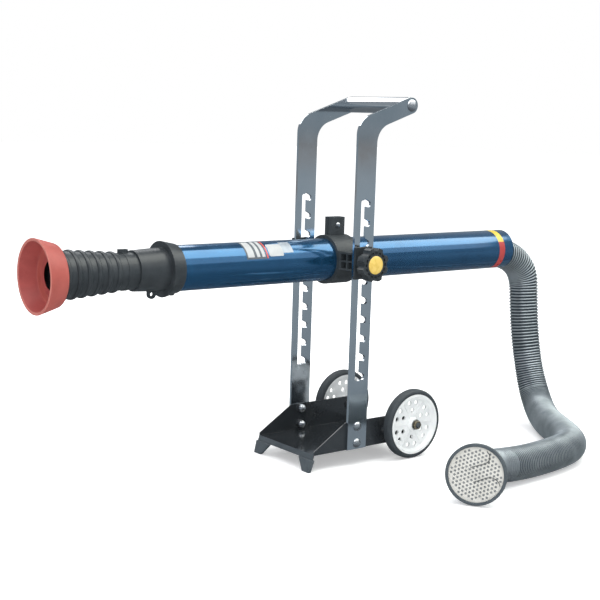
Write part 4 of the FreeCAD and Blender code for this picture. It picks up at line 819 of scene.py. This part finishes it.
def make_cone():
    """The red nozzle with painted light on its mouth's front face and painted shade on its inside, and the
    lip around its throat in the same painted shade.
    """
    low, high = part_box("nozzle_cone")
    sleeve_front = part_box("inlet_sleeve")[0].x
    floor = sleeve_front - CONE_FLOOR
    corners = [
        (high.x, CONE_SEAT),
        (high.x, CONE_REAR),
        (low.x, CONE_MOUTH),
        (low.x, CONE_MOUTH - CONE_WALL),
        (floor, CONE_REAR - CONE_WALL),
        (floor, CONE_THROAT),
        (sleeve_front, CONE_THROAT),
        (sleeve_front, CONE_SEAT),
    ]
    profile = rounded(corners, CONE_ROUNDING, steps=5)
    cone = lathe("nozzle_cone_skin", profile, "X", TUBE_AXIS, red_rubber, segments=120)

    def inside(middle, normal):
        spoke = middle - TUBE_AXIS
        spoke.x = 0
        return middle.x < floor - INSIDE_START and normal.dot(spoke.normalized()) < -INSIDE_LEAN

    def at_mouth(middle, normal):
        return middle.x < low.x + MOUTH_LIGHT_DEPTH and normal.x < -FRONT_LEAN

    # The inside faces get painted shade.
    tint(cone, red_painted_shade, inside)
    # The mouth's front face gets painted light.
    tint(cone, red_mouth_painted_light, at_mouth)
    stand_for(cone, "nozzle_cone")
    front, back = floor - LIP_FRONT, floor + LIP_BACK
    ring = [(front, LIP_INNER), (back, LIP_INNER), (back, LIP_OUTER), (front, LIP_OUTER)]
    # The throat's lip takes the same painted shade.
    lip = lathe("throat_lip", rounded(ring, LIP_ROUNDING, steps=3), "X", TUBE_AXIS, red_painted_shade)
    trim(lip, "nozzle_cone")


def make_tube_unit():
    """The tube with its inlet, clamp, knob and studs, and what is inside."""
    make_tube()
    make_sleeve()
    make_cone()
    softened("inlet_collar", black_rubber, edge=0.0012, steps=3)
    softened("tube_clamp", clamp_plastic, edge=0.0012, steps=3)
    softened("collar_eyelet", black_rubber, edge=0.0008)
    softened("sleeve_clip", black_rubber, edge=0.0004)
    for node in ("clamp_bolt", "clamp_nut"):
        softened(node, bolt_steel, edge=0.0004)
    softened("left_knob", knob_plastic, edge=0.0012, steps=3)
    softened("left_knob_cap", yellow_plastic, edge=0.0006)
    softened("right_stud", bolt_steel, edge=0.0006)
    for side in SIDES:
        softened(f"{side}_pressure_plate", knob_plastic, edge=0.0012, steps=3)
    for material, nodes in PLAIN_NODES:
        for node in nodes:
            paint(node, material)


# The trolley

# The tyre: its depth, and where its shoulder starts as a share of that depth and of half its width.
TYRE_DEPTH = 0.0134
SHOULDER_DEPTH = 0.42
SHOULDER_WIDTH = 0.62
TYRE_ROUNDING = 0.004


def make_trolley():
    """The tray, the uprights with their handle, the wheels, and what fastens them."""
    tray = softened("base_tray", black_gloss, edge=0.0008, steps=3)
    # The tray's front faces are painted paler, as a painted reflection of the light.
    tint(tray, tray_front_painted_sheen, lambda middle, normal: normal.x < -FRONT_LEAN and middle.x < 0)
    for side in SIDES:
        softened(f"{side}_upright", bar_steel, edge=0.0009, steps=3)
        softened(f"{side}_foot_cap", foot_rubber, edge=0.0014, steps=3)
        make_wheel(side)
    softened("handle_tube", chrome, edge=0.0006)
    for node in ("handle_bolts", "frame_bolts", "frame_nuts"):
        softened(node, bolt_steel, edge=0.0005)
    for node in ("stub_axles", "axle_spacers", "axle_washers"):
        softened(node, turned_steel, edge=0.0005)
    softened("axle_nuts", brass, edge=0.0005)
    paint("handle_plugs", turned_steel)


def make_wheel(side):
    """A moulded disc with its bush, and a tyre with round shoulders."""
    softened(f"{side}_wheel_disc", white_plastic, edge=0.0008)
    softened(f"{side}_wheel_bush", white_plastic, edge=0.0003)
    low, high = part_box(f"{side}_tyre")
    centre = (low + high) / 2
    radius = (high.z - low.z) / 2
    half = (high.y - low.y) / 2
    seat = radius - TYRE_DEPTH
    shoulder = radius - TYRE_DEPTH * SHOULDER_DEPTH
    tread = half * SHOULDER_WIDTH
    corners = [
        (-half, seat),
        (-half, shoulder),
        (-tread, radius),
        (tread, radius),
        (half, shoulder),
        (half, seat),
    ]
    profile = rounded(corners, TYRE_ROUNDING, steps=5)
    tyre = lathe(f"{side}_tyre_skin", profile, "Y", centre, tyre_rubber, segments=128)
    stand_for(tyre, f"{side}_tyre")


# Camera, floor and light

WHITE = (1, 1, 1, 1)

# The floor: half its side. The glow that whitens it to the eye grows from a least value near the object's
# middle to 1 far away, between these two distances.
FLOOR_REACH = 30
GLOW_MIDDLE = (0.2, -0.1, 0)
GLOW_NEAR = 0.5
GLOW_FAR = 2.0
GLOW_LEAST = 0.36

# The studio in reflections, from straight down at -1 to straight up at 1: heights and colours.
STUDIO_STOPS = [
    (-1.0, (0.10, 0.11, 0.12)),
    (-0.45, (0.13, 0.15, 0.17)),
    (-0.06, (0.33, 0.38, 0.42)),
    (-0.034, (0.33, 0.38, 0.42)),
    (-0.032, (0.27, 0.22, 0.19)),
    (-0.020, (0.27, 0.22, 0.19)),
    (-0.018, (0.24, 0.285, 0.32)),
    (0.30, (0.25, 0.28, 0.31)),
    (0.60, (0.26, 0.28, 0.31)),
    (0.72, (0.16, 0.17, 0.19)),
    (1.0, (0.30, 0.31, 0.32)),
]


def make_camera():
    """The photograph's camera."""
    lens = bpy.data.cameras.new("camera")
    lens.lens = CAMERA_LENS_MM
    lens.sensor_width = CAMERA_SENSOR_MM
    lens.shift_x, lens.shift_y = CAMERA_SHIFT
    lens.clip_end = CAMERA_REACH
    camera = bpy.data.objects.new("camera", lens)
    scene.collection.objects.link(camera)
    up = CAMERA_RIGHT.cross(CAMERA_FORWARD).normalized()
    turn = Matrix((CAMERA_RIGHT, up, -CAMERA_FORWARD)).transposed().to_4x4()
    camera.matrix_world = Matrix.Translation(CAMERA_PLACE) @ turn
    scene.camera = camera


def area_light(name, place, target, size, power, colour=WHITE[:3], mirrored=True):
    """A soft light that faces its target. One that isn't mirrored doesn't show in glossy surfaces."""
    lamp = bpy.data.lights.new(name, "AREA")
    lamp.shape = "RECTANGLE"
    lamp.size, lamp.size_y = size
    lamp.energy = power
    lamp.color = colour
    made = bpy.data.objects.new(name, lamp)
    scene.collection.objects.link(made)
    made.location = place
    made.visible_glossy = mirrored
    made.rotation_euler = (Vector(target) - Vector(place)).to_track_quat("-Z", "Y").to_euler()


def pale_floor():
    """A pale floor that turns to plain white away from the object."""
    made = finish("pale_floor", (0.86, 0.86, 0.86), (0.9, 0.9, 0.9), 0.5, 0.8, 0.9)
    nodes, link = made.node_tree.nodes, made.node_tree.links.new
    shader = nodes["Principled BSDF"]
    place = nodes.new("ShaderNodeTexCoord")
    away = nodes.new("ShaderNodeVectorMath")
    away.operation = "DISTANCE"
    away.inputs[1].default_value = GLOW_MIDDLE
    fade = nodes.new("ShaderNodeMapRange")
    fade.interpolation_type = "SMOOTHSTEP"
    fade.inputs["From Min"].default_value = GLOW_NEAR
    fade.inputs["From Max"].default_value = GLOW_FAR
    fade.inputs["To Min"].default_value = GLOW_LEAST
    shader.inputs["Emission Color"].default_value = WHITE
    ray = nodes.new("ShaderNodeLightPath")
    shown = nodes.new("ShaderNodeMath")
    shown.operation = "MULTIPLY"
    link(place.outputs["Object"], away.inputs[0])
    link(away.outputs["Value"], fade.inputs["Value"])
    link(fade.outputs["Result"], shown.inputs[0])
    link(ray.outputs["Is Camera Ray"], shown.inputs[1])
    link(shown.outputs["Value"], shader.inputs["Emission Strength"])
    return made


def make_floor():
    """The stage's floor, which doesn't show in glossy surfaces."""
    mesh = bpy.data.meshes.new("floor")
    corners = [(x * FLOOR_REACH, y * FLOOR_REACH, 0) for x, y in ((-1, -1), (1, -1), (1, 1), (-1, 1))]
    mesh.from_pydata(corners, [], [(0, 1, 2, 3)])
    floor = piece("floor", mesh, pale_floor())
    floor.visible_glossy = False


def make_world():
    """White to the camera; in reflections a grey studio with a line at the horizon."""
    world = bpy.data.worlds.new("studio")
    scene.world = world
    world.use_nodes = True
    nodes, link = world.node_tree.nodes, world.node_tree.links.new
    seen = nodes["Background"]
    seen.inputs["Color"].default_value = WHITE
    mirrored = nodes.new("ShaderNodeBackground")
    place = nodes.new("ShaderNodeTexCoord")
    parts = nodes.new("ShaderNodeSeparateXYZ")
    level = nodes.new("ShaderNodeMapRange")
    level.inputs["From Min"].default_value = -1
    ramp = nodes.new("ShaderNodeValToRGB")
    while len(ramp.color_ramp.elements) < len(STUDIO_STOPS):
        ramp.color_ramp.elements.new(0.5)
    for element, (height, colour) in zip(ramp.color_ramp.elements, STUDIO_STOPS):
        element.position = (height + 1) / 2
        element.color = (*colour, 1)
    ray = nodes.new("ShaderNodeLightPath")
    choice = nodes.new("ShaderNodeMixShader")
    link(place.outputs["Generated"], parts.inputs["Vector"])
    link(parts.outputs["Z"], level.inputs["Value"])
    link(level.outputs["Result"], ramp.inputs["Fac"])
    link(ramp.outputs["Color"], mirrored.inputs["Color"])
    link(ray.outputs["Is Camera Ray"], choice.inputs["Fac"])
    link(mirrored.outputs["Background"], choice.inputs[1])
    link(seen.outputs["Background"], choice.inputs[2])
    link(choice.outputs["Shader"], nodes["World Output"].inputs["Surface"])


def make_studio():
    """The camera, the floor, the surroundings and the lights."""
    make_camera()
    make_floor()
    make_world()
    scene.view_settings.view_transform = "Standard"
    area_light("long_softbox", place=(2.4, -0.75, 3.1), target=(2.4, 0, 0.57), size=(4.6, 2.2), power=100,
               colour=(0.98, 1.0, 0.93))
    area_light("dim_softbox", place=(2.4, -2.2, 2.2), target=(2.4, 0, 0.57), size=(4.6, 1.5), power=17)
    area_light("top_softbox", place=(-1.3, -0.5, 3.6), target=(-0.6, -0.2, 0.4), size=(2.6, 3.6), power=85)
    area_light("back_softbox", place=(0.1, 2.6, 3.1), target=(0.1, 0, 0.8), size=(3.0, 1.4), power=40)
    area_light("left_fill", place=(-3.6, -2.2, 1.6), target=(0, 0, 0.5), size=(2.4, 2.4), power=46,
               mirrored=False)
    area_light("front_fill", place=(-0.4, -4.2, 1.2), target=(0, 0, 0.5), size=(3.0, 1.6), power=38,
               mirrored=False)


outlet_hose, hose_line = make_hose()
end_pieces = make_hose_end(HOSE_END, HOSE_HEADING, hose_line)
make_tube_unit()
make_trolley()
make_studio()
